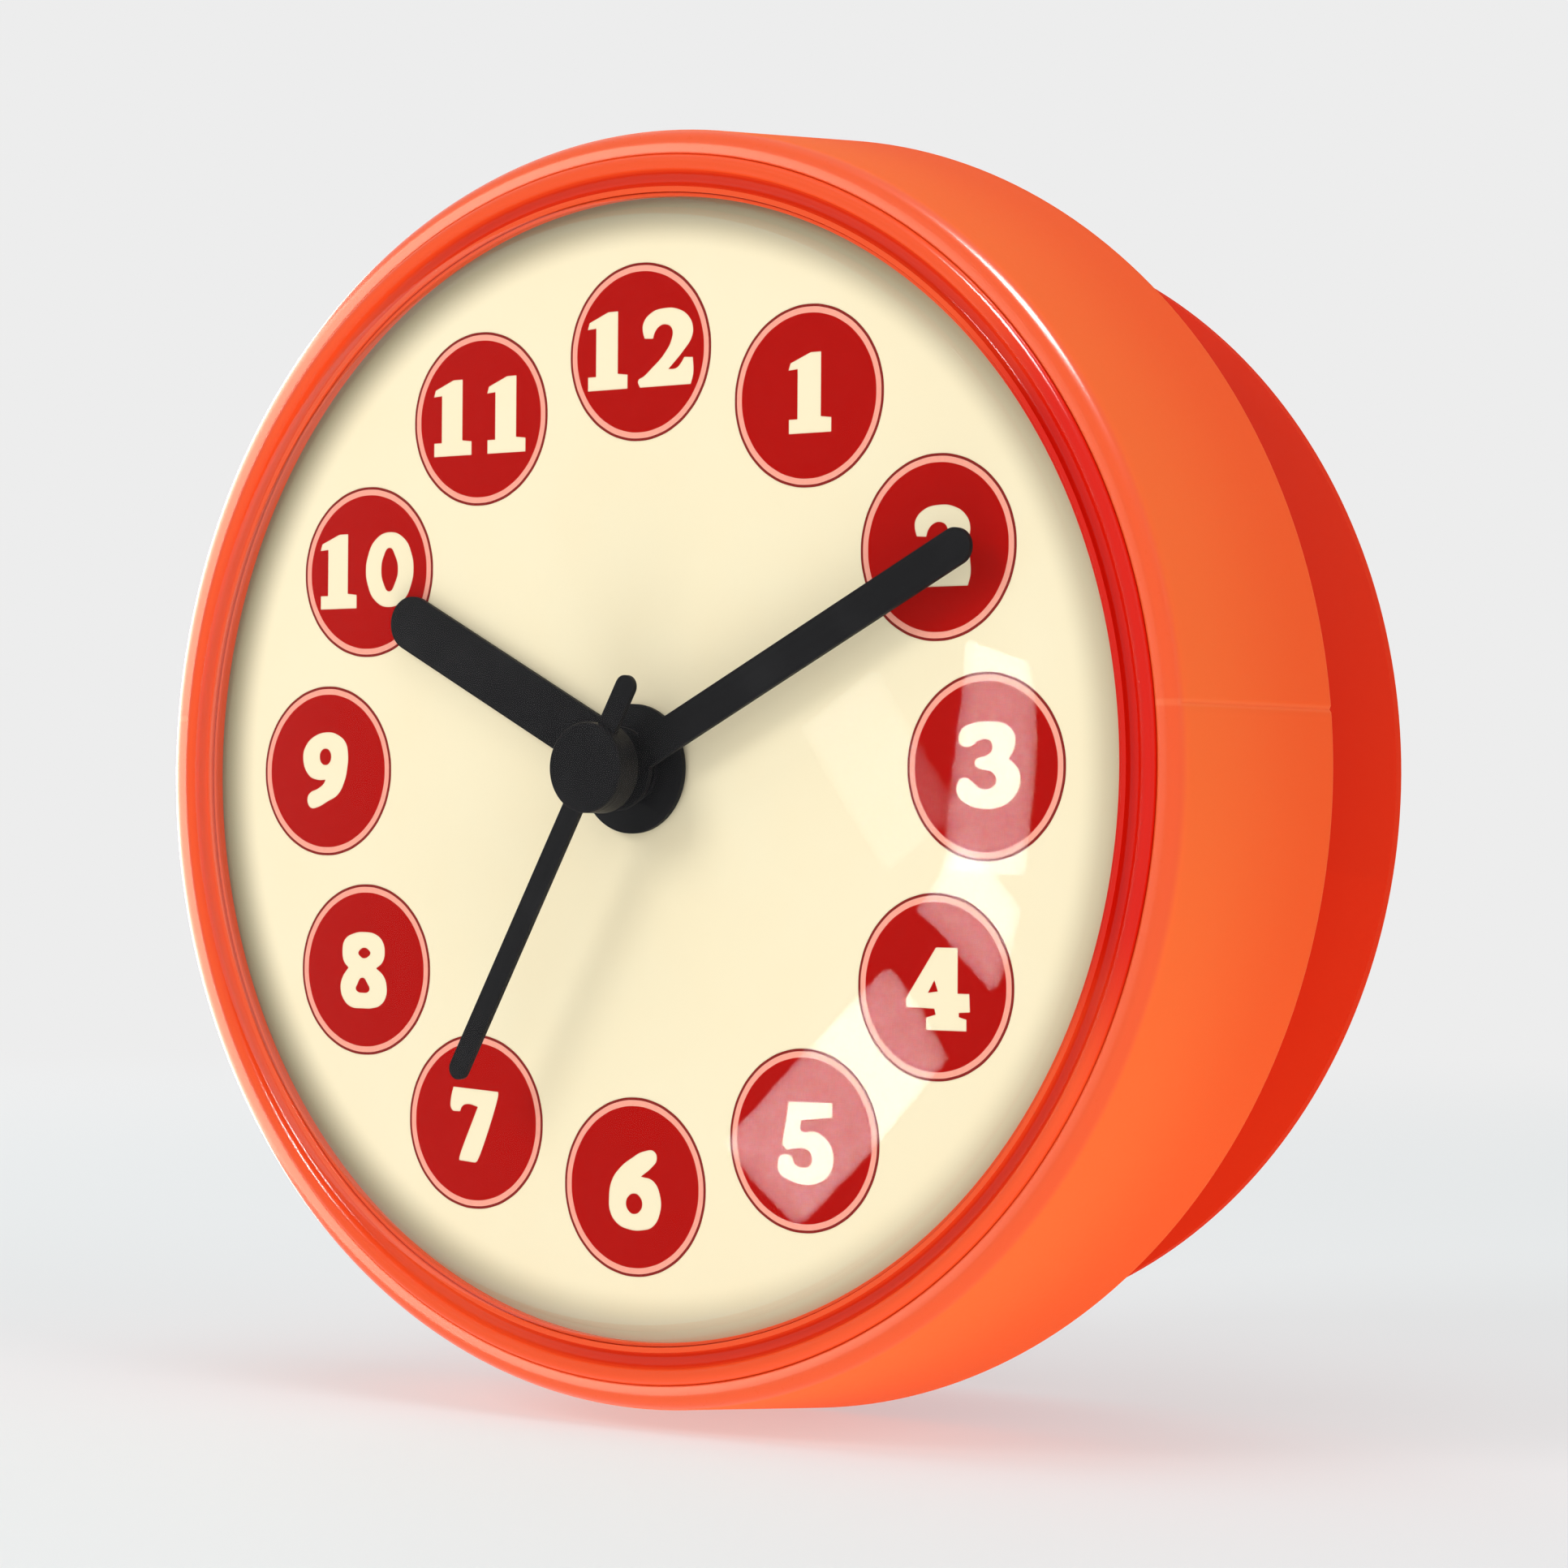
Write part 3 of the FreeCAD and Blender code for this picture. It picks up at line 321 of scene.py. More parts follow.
def placeCamera():
    camera = bpy.data.objects.new("camera", bpy.data.cameras.new("camera"))
    bpy.context.scene.collection.objects.link(camera)
    camera.data.lens = cameraSet["lens"]
    camera.data.sensor_width = cameraSet["sensor"]
    turn = Matrix.Rotation(math.radians(cameraSet["azimuth"]), 4, "Z")
    tilt = Matrix.Rotation(math.radians(90 - cameraSet["elevation"]), 4, "X")
    roll = Matrix.Rotation(math.radians(cameraSet["roll"]), 4, "Z")
    back = Matrix.Translation((0, 0, cameraSet["distance"] * mm))
    aim = Matrix.Translation(Vector(cameraSet["aim"]) * mm)
    camera.matrix_world = aim @ turn @ tilt @ roll @ back
    camera.data.clip_start = cameraSet["nearest"]
    camera.data.clip_end = cameraSet["farthest"]
    bpy.context.scene.camera = camera


placeCamera()


# Studio: a pale room with soft boxes. A lamp's azimuth and elevation say where it stands as seen
# from the dial. Its reach and its size are in metres, and so are the floor's size and fade.

studioSet = {"background": tone(237, 237, 237), "roomLight": 0.45, "dialY": -38,
             "floorTone": tone(168, 173, 174), "floorGlow": 0.5, "floorRoughness": 0.85,
             "floorZ": -49.9, "floorSize": 12, "floorFade": (0.16, 0.55)}
lampSet = {
    "key": {"azimuth": -28, "elevation": 31, "reach": 0.75, "size": (0.3, 0.3), "power": 1.7},
    "side": {"azimuth": 80, "elevation": 22, "reach": 0.8, "size": (0.3, 0.5), "power": 1.8},
    "rim": {"azimuth": -125, "elevation": 12, "reach": 0.7, "size": (0.2, 0.5), "power": 1.0},
    "top": {"azimuth": 10, "elevation": 80, "reach": 0.8, "size": (0.5, 0.4), "power": 1.45},
    "table": {"azimuth": 20, "elevation": -68, "reach": 0.7, "size": (0.5, 0.5), "power": 2.3},
}


def direction(azimuth, elevation):
    turn, rise = math.radians(azimuth), math.radians(elevation)
    return Vector((math.sin(turn) * math.cos(rise), -math.cos(turn) * math.cos(rise), math.sin(rise)))


def placeLamp(name, azimuth, elevation, reach, size, power=0.0, roll=0, bright=0.0, shinesOn=(),
              shade=(1, 1, 1)):
    # a bright lamp shows only in the gloss of its pieces, and the others only light the surfaces
    lamp = bpy.data.objects.new(name, bpy.data.lights.new(name, "AREA"))
    bpy.context.scene.collection.objects.link(lamp)
    lamp.data.shape = "RECTANGLE"
    lamp.data.size, lamp.data.size_y = size
    lamp.data.energy = bright * math.pi * size[0] * size[1] if bright else power
    lamp.data.color = shade
    away = direction(azimuth, elevation)
    place = Matrix.Translation(Vector((0, studioSet["dialY"] * mm, 0)) + away * reach)
    lamp.matrix_world = place @ away.to_track_quat("Z", "Y").to_matrix().to_4x4() @ \
        Matrix.Rotation(math.radians(roll), 4, "Z")
    lamp.visible_diffuse = not bright
    lamp.visible_glossy = bool(bright)
    if shinesOn:
        glossy = bpy.data.collections.new(f"{name}_pieces")
        for piece in shinesOn:
            glossy.objects.link(bpy.data.objects[piece])
        lamp.light_linking.receiver_collection = glossy


def makeWorld():
    world = bpy.data.worlds.new("room")
    bpy.context.scene.world = world
    look = Look(world)
    path = look.node("ShaderNodeLightPath").socket.node.outputs
    seen = Wire(look, path["Is Camera Ray"]) + Wire(look, path["Is Glossy Ray"])
    seen = seen.maths("ADD", Wire(look, path["Is Transmission Ray"]))
    seen = seen.maths("MINIMUM", 1.0)
    level = studioSet["roomLight"]
    shade = look.blend(seen, (level, level, level, 1), studioSet["background"])
    look.finish(look.node("ShaderNodeBackground", None, {"Color": shade, "Strength": 1.0}))


def makeFloor():
    deselectAll()
    bpy.ops.mesh.primitive_plane_add(size=studioSet["floorSize"], location=(0, 0, studioSet["floorZ"] * mm))
    floor = bpy.context.object
    floor.name = "floor"
    look = newLook("floor")
    away = look.node("ShaderNodeVectorMath", {"operation": "LENGTH"}, {0: look.places()}, 1)
    far = look.step(away, *studioSet["floorFade"])
    near = look.principled({
        "Base Color": studioSet["floorTone"], "Roughness": studioSet["floorRoughness"],
        "Emission Color": studioSet["background"], "Emission Strength": studioSet["floorGlow"],
    })
    distant = look.node("ShaderNodeEmission", None, {"Color": studioSet["background"], "Strength": 1.0})
    top = look.node("ShaderNodeMixShader", None, {0: far, 1: near, 2: distant})
    # the table is translucent to the lamp under it
    path = look.node("ShaderNodeLightPath").socket.node.outputs
    clear = look.node("ShaderNodeBsdfTransparent")
    lit = look.node("ShaderNodeMixShader", None, {0: Wire(look, path["Is Shadow Ray"]), 1: top, 2: clear})
    floor.data.materials.append(look.finish(lit))
    floor.visible_glossy = False  # the window that the lens mirrors reaches below the table


bpy.context.scene.view_settings.view_transform = "Standard"
makeWorld()
makeFloor()
for lampName, lampSizes in lampSet.items():
    placeLamp(lampName, **lampSizes)
print("camera and studio ready")


# Finishes.

plasticSet = {"clouds": 70, "uneven": 0.12}
metalSet = {"grain": 900, "grainDepth": 0.002, "uneven": 0.2, "stains": 250, "stainFade": (0.35, 0.75),
            "stainShade": 0.8}


def mouldedLook(name, shade, roughness=0.42, grain=1800, depth=0.003, mottle=0.05):
    # injection moulded plastic: faint clouds in the colour and a fine spark-eroded skin
    look = newLook(name)
    fine = look.noise(grain, 2)
    clouds = look.noise(plasticSet["clouds"], 3)
    return look.finish(look.principled({
        "Base Color": look.blend(clouds, shaded(shade, 1 - mottle), shaded(shade, 1 + mottle)),
        "Roughness": look.around(roughness, fine, plasticSet["uneven"]), "Normal": look.bump(fine, depth),
    }))


def metalLook(name, shade, roughness=0.3, stretch=(1, 1, 1)):
    # bare metal with fine marks drawn out along one axis
    look = newLook(name)
    marks = look.noise(metalSet["grain"], 3, stretch)
    stains = look.step(look.noise(metalSet["stains"], 3), *metalSet["stainFade"])
    return look.finish(look.principled({
        "Base Color": look.blend(stains, shade, shaded(shade, metalSet["stainShade"])), "Metallic": 1.0,
        "Roughness": look.around(roughness, marks, metalSet["uneven"]),
        "Normal": look.bump(marks, metalSet["grainDepth"]),
    }))


# A fade is the pair of places, as y, between which one colour runs into the next.
siliconeSet = {
    # painted shade: the body is painted darker from the front towards the rear
    "front": tone(251, 110, 52), "rear": tone(245, 94, 42), "bodyShadeFade": (-37, -20),
    # painted highlight: a paler band on the body's rear edge
    "edge": tone(255, 116, 72), "edgeHighlightFade": (-19.5, -19.2),
    # painted shade: deep red at the neck, easing towards the cup's rim
    "neck": tone(206, 20, 6), "neckShadeFade": (-18.75, -18.2), "cup": tone(220, 50, 18), "cupShadeFade": (-13, -1),
    # painted shade: the lip, which catches more light, is painted darker
    "lip": tone(242, 90, 38), "lipFade": (-37.0, -37.6),
    # painted highlight: a paler line along the parting ridge, on the body only
    "ridgeHighlight": tone(255, 138, 88), "ridgeHighlightFade": (-19, -18.5), "ridgeHighlightWidth": (0.12, 0.35), "ridgeHighlightShare": 0.24,
    "clouds": 45, "cloudShare": 0.08, "grain": 2600, "grainDepth": 0.004, "uneven": 0.15,
    "roughness": 0.8, "lipRoughness": 0.3, "specular": 0.08,
    "coat": 0.6, "coatRadius": (46.4, 46.55), "coatRoughness": 0.2,
    "glow": 0.12, "glowColours": (1.0, 0.3, 0.12), "glowDepth": 2.5,
}


def siliconeLook():
    # one orange silicone with painted shade: darker towards the rear, deep red at the neck and cup, and a
    # darker lip; painted highlights on the rear edge and along the parting ridge; satin on the lip
    look = newLook("sleeve_silicone")
    sizes = siliconeSet
    x, y, z = look.axes()
    depth = y * perMetre
    grain = look.noise(sizes["grain"], 3)
    clouds = look.noise(sizes["clouds"], 3)
    # painted shade: darker towards the rear
    body = look.blend(look.step(depth, *sizes["bodyShadeFade"]), sizes["front"], sizes["rear"])
    # painted highlight on the rear edge
    body = look.blend(look.step(depth, *sizes["edgeHighlightFade"]), body, sizes["edge"])
    # painted shade: deep red neck and cup root, lighter towards the cup's rim
    cup = look.blend(look.step(depth, *sizes["cupShadeFade"]), sizes["neck"], sizes["cup"])
    base = look.blend(look.step(depth, *sizes["neckShadeFade"]), body, cup)
    # painted shade on the lip; the same mask makes the lip satin below
    lip = look.step(depth, *sizes["lipFade"])
    base = look.blend(lip, base, sizes["lip"])
    # painted highlight along the parting ridge, not on the cup
    parting = (z * perMetre - sleeveSet["partingZ"][1]).maths("ABSOLUTE", 0)
    ridgeHighlight = (1 - look.step(parting, *sizes["ridgeHighlightWidth"])) * (1 - look.step(depth, *sizes["ridgeHighlightFade"]))
    base = look.blend(ridgeHighlight * sizes["ridgeHighlightShare"], base, sizes["ridgeHighlight"])
    base = look.blend(clouds * sizes["cloudShare"], base, sizes["neck"])
    rough = look.around(sizes["roughness"], grain, sizes["uneven"])
    radius = (x * x + z * z) ** 0.5 * perMetre
    return look.finish(look.principled({
        "Base Color": base, "Roughness": rough - lip * (sizes["roughness"] - sizes["lipRoughness"]),
        "Normal": look.bump(grain, sizes["grainDepth"]), "Specular IOR Level": sizes["specular"],
        "Coat Weight": lip * look.step(radius, *sizes["coatRadius"]) * sizes["coat"],
        "Coat Roughness": sizes["coatRoughness"], "Subsurface Weight": sizes["glow"],
        "Subsurface Radius": sizes["glowColours"], "Subsurface Scale": sizes["glowDepth"] * mm,
    }))


# painted shade: deep is the dark red of the shaded ring, and coveDepth is its share in the cove
ringLookSet = {
    "warm": tone(241, 84, 38), "deep": tone(218, 24, 6), "coveStart": 43.95, "coveEnd": 45.05,
    "coveDepth": 0.65, "blend": 0.15, "front": (-37.0, -37.5), "shadeSide": (0.985, 0.17),
    "shadeSideFade": (0.76, 0.93), "warmFade": (0.15, 0.6), "roughness": 0.15, "uneven": 0.06, "grain": 1500,
    "ripple": 500, "rippleDepth": 0.002, "index": 1.33,
}


def ringShade(look):
    # painted shade: the red is deepest in the cove and round three o'clock on the face, and the cove's shade
    # fades out on the left side
    sizes = ringLookSet
    x, y, z = look.axes()
    radius = (x * x + z * z) ** 0.5 * perMetre
    side = (x * sizes["shadeSide"][0] + z * sizes["shadeSide"][1]) * perMetre * radius ** -1
    start, end, soft = sizes["coveStart"], sizes["coveEnd"], sizes["blend"]
    inCove = look.step(radius, start - soft, start + soft) - look.step(radius, end - soft, end + soft)
    right = look.step(side, *sizes["shadeSideFade"]) * look.step(y * perMetre, *sizes["front"])
    left = look.step(side * -1, *sizes["warmFade"])
    deep = (inCove * (1 - left) * sizes["coveDepth"]).maths("MAXIMUM", right)
    return look.blend(deep, sizes["warm"], sizes["deep"])


def ringLook():
    # polished, with the faint ripple of a large moulding
    look = newLook("ring_plastic")
    sizes = ringLookSet
    # the ring's colour carries its painted shade
    return look.finish(look.principled({
        "Base Color": ringShade(look), "IOR": sizes["index"],
        "Normal": look.bump(look.noise(sizes["ripple"], 2), sizes["rippleDepth"]),
        "Roughness": look.around(sizes["roughness"], look.noise(sizes["grain"], 3), sizes["uneven"]),
    }))


sealLookSet = {"grain": 2600, "grainDepth": 0.004, "roughness": 0.5, "uneven": 0.15, "index": 1.33}


def sealLook():
    look = newLook("seal_rubber")
    sizes = sealLookSet
    grain = look.noise(sizes["grain"], 3)
    # painted shade: the seal takes the ring's colour with its painted shade
    return look.finish(look.principled({
        "Base Color": ringShade(look), "Roughness": look.around(sizes["roughness"], grain, sizes["uneven"]),
        "Normal": look.bump(grain, sizes["grainDepth"]), "IOR": sizes["index"],
    }))


lensGloss = {"index": 1.1, "most": 0.05, "clear": (0.99, 0.99, 0.985, 1), "roughness": 0.014,
             "uneven": 0.004, "grain": 3000}


def lensLook():
    # clear acrylic: nothing but its reflections shows, and it casts no shadow
    look = newLook("lens_plastic")
    rough = lensGloss["roughness"] + look.noise(lensGloss["grain"], 2) * lensGloss["uneven"]
    gloss = look.principled({"Base Color": (1, 1, 1, 1), "Metallic": 1.0, "Roughness": rough})
    clear = look.node("ShaderNodeBsdfTransparent", None, {"Color": lensGloss["clear"]})
    facing = look.node("ShaderNodeFresnel", None, {"IOR": lensGloss["index"]})
    path = look.node("ShaderNodeLightPath").socket.node.outputs
    gleam = facing.maths("MINIMUM", lensGloss["most"]) * (1 - Wire(look, path["Is Shadow Ray"]))
    return look.finish(look.node("ShaderNodeMixShader", None, {0: gleam, 1: clear, 2: gloss}))


# the edge of the card lies deep in the ring and stays in its shade, most of all at the upper left
cardSet = {
    "paper": (tone(255, 240, 203), tone(255, 244, 211)), "clouds": 120, "fibres": 2600, "fibreDepth": 0.002,
    "shade": tone(138, 134, 108), "shadeFrom": 39.4, "shadeTo": 43.2, "shadePower": 0.85,
    "towards": (-0.8, 0.6), "sideFade": (-1.0, 0.6), "least": 0.5,
    "roughness": 0.6, "uneven": 0.2, "specular": 0.04,
}


def cardLook():
    look = newLook("dial_card")
    sizes = cardSet
    fibres = look.noise(sizes["fibres"], 4)
    card = look.blend(look.noise(sizes["clouds"], 3), *sizes["paper"])
    x, y, z = look.axes()
    radius = (x * x + z * z) ** 0.5
    side = (x * sizes["towards"][0] + z * sizes["towards"][1]) * (1 / (sizes["shadeTo"] * mm))
    least = sizes["least"]
    depth = look.step(side, *sizes["sideFade"]) * (1 - least) + least
    edge = look.step(radius, sizes["shadeFrom"] * mm, sizes["shadeTo"] * mm) ** sizes["shadePower"]
    return look.finish(look.principled({
        "Base Color": look.blend(edge * depth, card, sizes["shade"]),
        "Roughness": look.around(sizes["roughness"], fibres, sizes["uneven"]),
        "Normal": look.bump(fibres, sizes["fibreDepth"]), "Specular IOR Level": sizes["specular"],
    }))


inkSet = {
    "discs": tone(181, 14, 9), "halos": tone(255, 172, 152), "lines": tone(140, 40, 36),
    "grain": 3000, "grainDepth": 0.0015, "mottle": 0.07, "roughness": 0.5, "specular": 0.02,
}


def inkLook(part):
    # printed ink, a little mottled
    look = newLook(f"ink_{part}")
    sizes = inkSet
    shade, mottle = sizes[part], sizes["mottle"]
    grain = look.noise(sizes["grain"], 3)
    return look.finish(look.principled({
        "Base Color": look.blend(grain, shaded(shade, 1 - mottle), shaded(shade, 1 + mottle)),
        "Roughness": sizes["roughness"], "Normal": look.bump(grain, sizes["grainDepth"]),
        "Specular IOR Level": sizes["specular"],
    }))


handLookSet = {
    "black": tone(24, 24, 26), "worn": tone(32, 32, 34), "wear": 180, "wornFade": (0.45, 0.8),
    "grain": 2400, "grainDepth": 0.002, "roughness": 0.52, "uneven": 0.2, "specular": 0.08,
}


def handLook():
    # black paint on sheet metal, with a faint orange peel
    look = newLook("hand_metal")
    sizes = handLookSet
    grain = look.noise(sizes["grain"], 3)
    worn = look.step(look.noise(sizes["wear"], 4), *sizes["wornFade"])
    return look.finish(look.principled({
        "Base Color": look.blend(worn, sizes["black"], sizes["worn"]),
        "Roughness": look.around(sizes["roughness"], grain, sizes["uneven"]),
        "Normal": look.bump(grain, sizes["grainDepth"]), "Specular IOR Level": sizes["specular"],
    }))


print("finishes ready")


# Silicone sleeve: body, neck and suction cup in one moulding.

sleeveSet = {
    "front": -38.0, "bore": 46.55, "floor": -21.8, "rear": -18.9, "rearRadius": 49.9, "rearRound": 0.8,
    "lipBore": 46.32, "lipBack": -37.0, "lipInner": 0.12, "lipFlat": 0.61, "lipRound": 1.25,
    "neck": 26.0, "neckRound": 1.5, "rootWidth": 2.6, "rootHeight": 5.0,
    "cupRadius": 45.05, "cupEdge": 0.8, "cupLand": 2.2, "dishDepth": 9.5, "dishFlat": 4.0,
    "partingZ": (4.1, 4.35, 4.6), "partingHeight": 0.12, "partingNear": 0.001,
}


def makeSleeve():
    sizes = sleeveSet
    bore, front, rear = sizes["bore"], sizes["front"], sizes["rear"]
    lipBore = sizes["lipBore"]
    lipStart = lipBore + sizes["lipInner"]
    lipEnd = lipStart + sizes["lipFlat"]
    neckTop = rear + sizes["neckRound"]
    dish = sizes["cupRadius"] - sizes["cupLand"]
    sleeve = turned([
        (0, sizes["floor"]),
        (bore, sizes["floor"]),
        (bore, sizes["lipBack"]),
        (lipBore, sizes["lipBack"]),
        (lipBore, front + sizes["lipInner"], sizes["lipInner"]),
        (lipStart, front),
        (lipEnd, front, sizes["lipRound"]),
        (lipEnd + sizes["lipRound"], front + sizes["lipRound"]),
        (sizes["rearRadius"], rear - sizes["rearRound"], sizes["rearRound"]),
        (sizes["rearRadius"] - sizes["rearRound"], rear),
        (sizes["neck"] + sizes["neckRound"], rear, -sizes["neckRound"]),
        (sizes["neck"], neckTop, -archRadius(sizes["rootHeight"], sizes["rootWidth"])),
        (sizes["neck"] + sizes["rootWidth"], neckTop + sizes["rootHeight"]),
        (sizes["cupRadius"], -sizes["cupEdge"]),
        (sizes["cupRadius"], 0),
        (dish, 0, -archRadius(dish - sizes["dishFlat"], sizes["dishDepth"])),
        (sizes["dishFlat"], -sizes["dishDepth"]),
        (0, -sizes["dishDepth"]),
    ])
    # the two halves of the mould leave a fine ridge at three and nine o'clock
    bpy.ops.object.mode_set(mode="EDIT")
    for z in sizes["partingZ"]:
        bpy.ops.mesh.select_all(action="SELECT")
        bpy.ops.mesh.bisect(plane_co=(0, 0, z * mm), plane_no=(0, 0, 1))
    bpy.ops.mesh.select_all(action="DESELECT")
    bpy.ops.object.mode_set(mode="OBJECT")
    crest = sizes["partingZ"][1]
    for vertex in sleeve.data.vertices:
        x, y, z = (along / mm for along in vertex.co)
        onCrest = abs(z - crest) < sizes["partingNear"] and abs(x) > sizes["neck"] and y < -sizes["cupEdge"]
        vertex.select = onCrest and vertex.normal.x * x > 0 and vertex.normal.y > -0.5
    bpy.ops.object.mode_set(mode="EDIT")
    bpy.ops.mesh.select_mode(type="VERT")
    bpy.ops.transform.shrink_fatten(value=-sizes["partingHeight"] * mm)
    bpy.ops.object.mode_set(mode="OBJECT")
    finishPiece(sleeve, "sleeve_body", "sleeve", siliconeLook(), ["silicone_sleeve"])


makeSleeve()
print("sleeve done")


# Ring round the dial: lens seat, rim, cove, bead and a skirt with four screw bosses.

ringSet = {
    "window": 43.2, "seat": 43.5, "ledgeBack": -37.1, "ledge": -37.65, "face": -38.1, "rim": 43.9,
    "coveDepth": 0.55, "bead": 45.1, "beadHeight": 0.45, "outside": 46.3, "seatEdge": 0.06,
    "skirtInside": 45.0, "back": -29.1, "bosses": 4,
    "bossCircle": 42.0, "bossRadius": 2.6, "bossRoot": 0.65, "bossFront": -35.5,
    "holeRadius": 1.0, "holeFront": -33.75, "holePast": 1.0,
}


def bossOutline(bearing):
    # round towards the axis, straight sides out into the skirt
    sizes = ringSet
    radius, circle = sizes["bossRadius"], sizes["bossCircle"]
    points = [(radius, sizes["skirtInside"] + sizes["bossRoot"]), *arc(radius, 90, 270, circle),
              (-radius, sizes["skirtInside"] + sizes["bossRoot"])]
    return turnedBy(points, bearing)


def makeRing():
    sizes = ringSet
    face, rim, bead, outside = sizes["face"], sizes["rim"], sizes["bead"], sizes["outside"]
    coveHalf, beadHalf = (bead - rim) / 2, (outside - bead) / 2
    edge, back = sizes["seatEdge"], sizes["back"]
    ring = turned([
        (sizes["window"], sizes["ledgeBack"]),
        (sizes["window"], sizes["ledge"]),
        (sizes["seat"], sizes["ledge"]),
        (sizes["seat"], face + edge, edge),
        (sizes["seat"] + edge, face),
        (rim, face, -archRadius(coveHalf, sizes["coveDepth"])),
        (bead, face, archRadius(beadHalf, sizes["beadHeight"])),
        (outside, face),
        (outside, back),
        (sizes["skirtInside"], back),
        (sizes["skirtInside"], sizes["ledgeBack"]),
    ])
    for boss in range(sizes["bosses"]):
        bearing = 360 * boss / sizes["bosses"]
        plate = flatPlate([bossOutline(bearing)], sizes["bossFront"], back)
        combine(ring, "UNION", plate)
        x, z = spot(sizes["bossCircle"], bearing)
        hole = [circleOutline(sizes["holeRadius"], x, z)]
        combine(ring, "DIFFERENCE", flatPlate(hole, sizes["holeFront"], back + sizes["holePast"]))
    finishPiece(ring, "bezel_face", "clock_insert", ringLook(), ["bezel_ring"])


makeRing()


# Seal: a flat gasket with rounded corners, between the lens and the ring's ledge.

sealSet = {"inside": 43.2, "outside": 43.45, "front": -37.88, "back": -37.66, "round": 0.05}


def makeSeal():
    sizes = sealSet
    inside, outside = sizes["inside"], sizes["outside"]
    front, back, bend = sizes["front"], sizes["back"], sizes["round"]
    seal = turned([
        (inside, back),
        (inside, front + bend, bend),
        (inside + bend, front),
        (outside - bend, front, bend),
        (outside, front + bend),
        (outside, back),
    ])
    finishPiece(seal, "lens_gasket", "clock_insert", sealLook(), ["lens_seal"])


makeSeal()
print("ring and seal done")


# Lens: a shallow dome with a tight shoulder.

lensSet = {"outside": 43.45, "foot": -37.9, "straight": 0.16, "wall": 1.1, "dome": 260.0, "flat": 0.5,
           "crown": -45.85}


def makeLens():
    sizes = lensSet
    outer, dome, flat, wall = sizes["outside"], sizes["dome"], sizes["flat"], sizes["wall"]
    crown, foot = sizes["crown"], sizes["foot"]
    wallTop = foot - sizes["straight"]
    centre = crown + dome
    spread, reach = outer - flat, centre - wallTop
    # the shoulder's arc touches both the dome and the wall
    shoulder = (dome ** 2 - spread ** 2 - reach ** 2) / (2 * (dome - spread))
    slope = (spread - shoulder) / (dome - shoulder)
    drop = reach / (dome - shoulder)
    lens = turned([
        (0, crown),
        (flat, crown, dome),
        (flat + slope * dome, centre - drop * dome, shoulder),
        (outer, wallTop),
        (outer, foot),
        (outer - wall, foot),
        (outer - wall, wallTop, -(shoulder - wall)),
        (flat + slope * (dome - wall), centre - drop * (dome - wall), -(dome - wall)),
        (flat, crown + wall),
        (0, crown + wall),
    ])
    finishPiece(lens, "lens_dome", "clock_insert", lensLook(), ["lens"], 40)


makeLens()
print("lens done")


# Dial print: red discs whose numerals are left bare, each with a pale ring and a thin dark line.

printSet = {
    "card": -37.1, "ink": 0.03, "circle": 31.6, "disc": 6.11, "halo": 6.56, "line": 6.76,
    "numeralHeight": 5.95, "numeralOut": 0.25, "gaps": {"10": 16, "11": 26, "12": 17},
}
# numerals 100 units high, as x,y points; a corner is marked c and the other points are passed smoothly
numerals = {
    "0": ["42,0 16,10 3,32 0,50 3,68 16,90 42,100 69,90 82,68 85,50 82,32 69,10",
          "42,21 32,32 28,50 32,68 42,79 52,68 57,50 52,32"],
    "1": ["0,0c 65,0c 65,18c 49,20c 49,100c 33,100c 2,88c -1,79c 13,80c 13,18c 0,18c"],
    "2": ["3,0c 85,0c 89,14 88,34c 74,35c 69,28 62,22 49,21c 74,44 86,59 88,72 81,86 65,96 42,99 20,94 "
          "8,82 7,72 10,62c 24,61c 27,69 34,76 45,78 54,72 54,60 41,40 21,23 9,14 0,9"],
    "3": ["4,93 21,102 45,104 70,100 82,88 82,73 74,59c 88,46 90,29 80,12 62,2 33,0 10,7 0,17 1,32 10,37 "
          "23,31 33,24 49,25 56,34 49,44 33,47 25,53 27,59 41,63 49,69 49,78 41,83 29,81 21,75 10,74 3,78"],
    "4": ["44,100c 76,100c 76,45c 93,45c 94,23c 78,22c 78,17c 89,14c 89,0c 30,0c 30,15c 44,19c 42,26c "
          "1,27c 0,37c", "42,60c 47,47c 33,45c"],
    "5": ["16,101c 83,102c 83,84c 36,79c 36,66 55,66 75,56 84,41 84,25 75,10 55,1 36,0 16,5 2,13 0,25 "
          "3,33 14,36 22,33 26,25 36,21 48,23 52,34 44,43 28,44 14,41c 6,48c 10,67 14,87"],
    "6": ["56,100 74,100 77,90 70,81 52,68c 72,63 83,45 83,24 72,6 54,0 33,0 13,7 2,21 0,38 4,60 17,77 "
          "37,91", "41,20 32,24 28,33 32,42 41,46 50,42 54,33 50,24"],
    "7": ["4,98c 81,94c 81,88 46,2 42,0c 15,2c 15,6 46,73c 28,76 20,73 16,66c 4,66c 0,70 0,84"],
    "8": ["41,0 18,2 6,11 0,26 3,40 14,54c 6,62 3,75 7,91 24,100 41,102 63,99 75,90 79,75 75,62 64,54c "
          "78,43 83,29 81,15 72,5 60,1", "42,67 35,70 32,74 35,78 42,81 50,78 53,74 50,70",
          "39,41 30,31 28,26 32,22 40,21 49,22 52,26 49,32"],
    "9": ["44,102 19,96 5,84 0,69 10,45 27,38 41,38c 38,33 27,26 14,21 9,15 10,5 16,0 27,1 46,9 64,18 "
          "76,36 81,55 82,71 78,87 64,98", "41,58 34,61 31,69 34,77 41,80 48,77 51,69 48,61"],
}


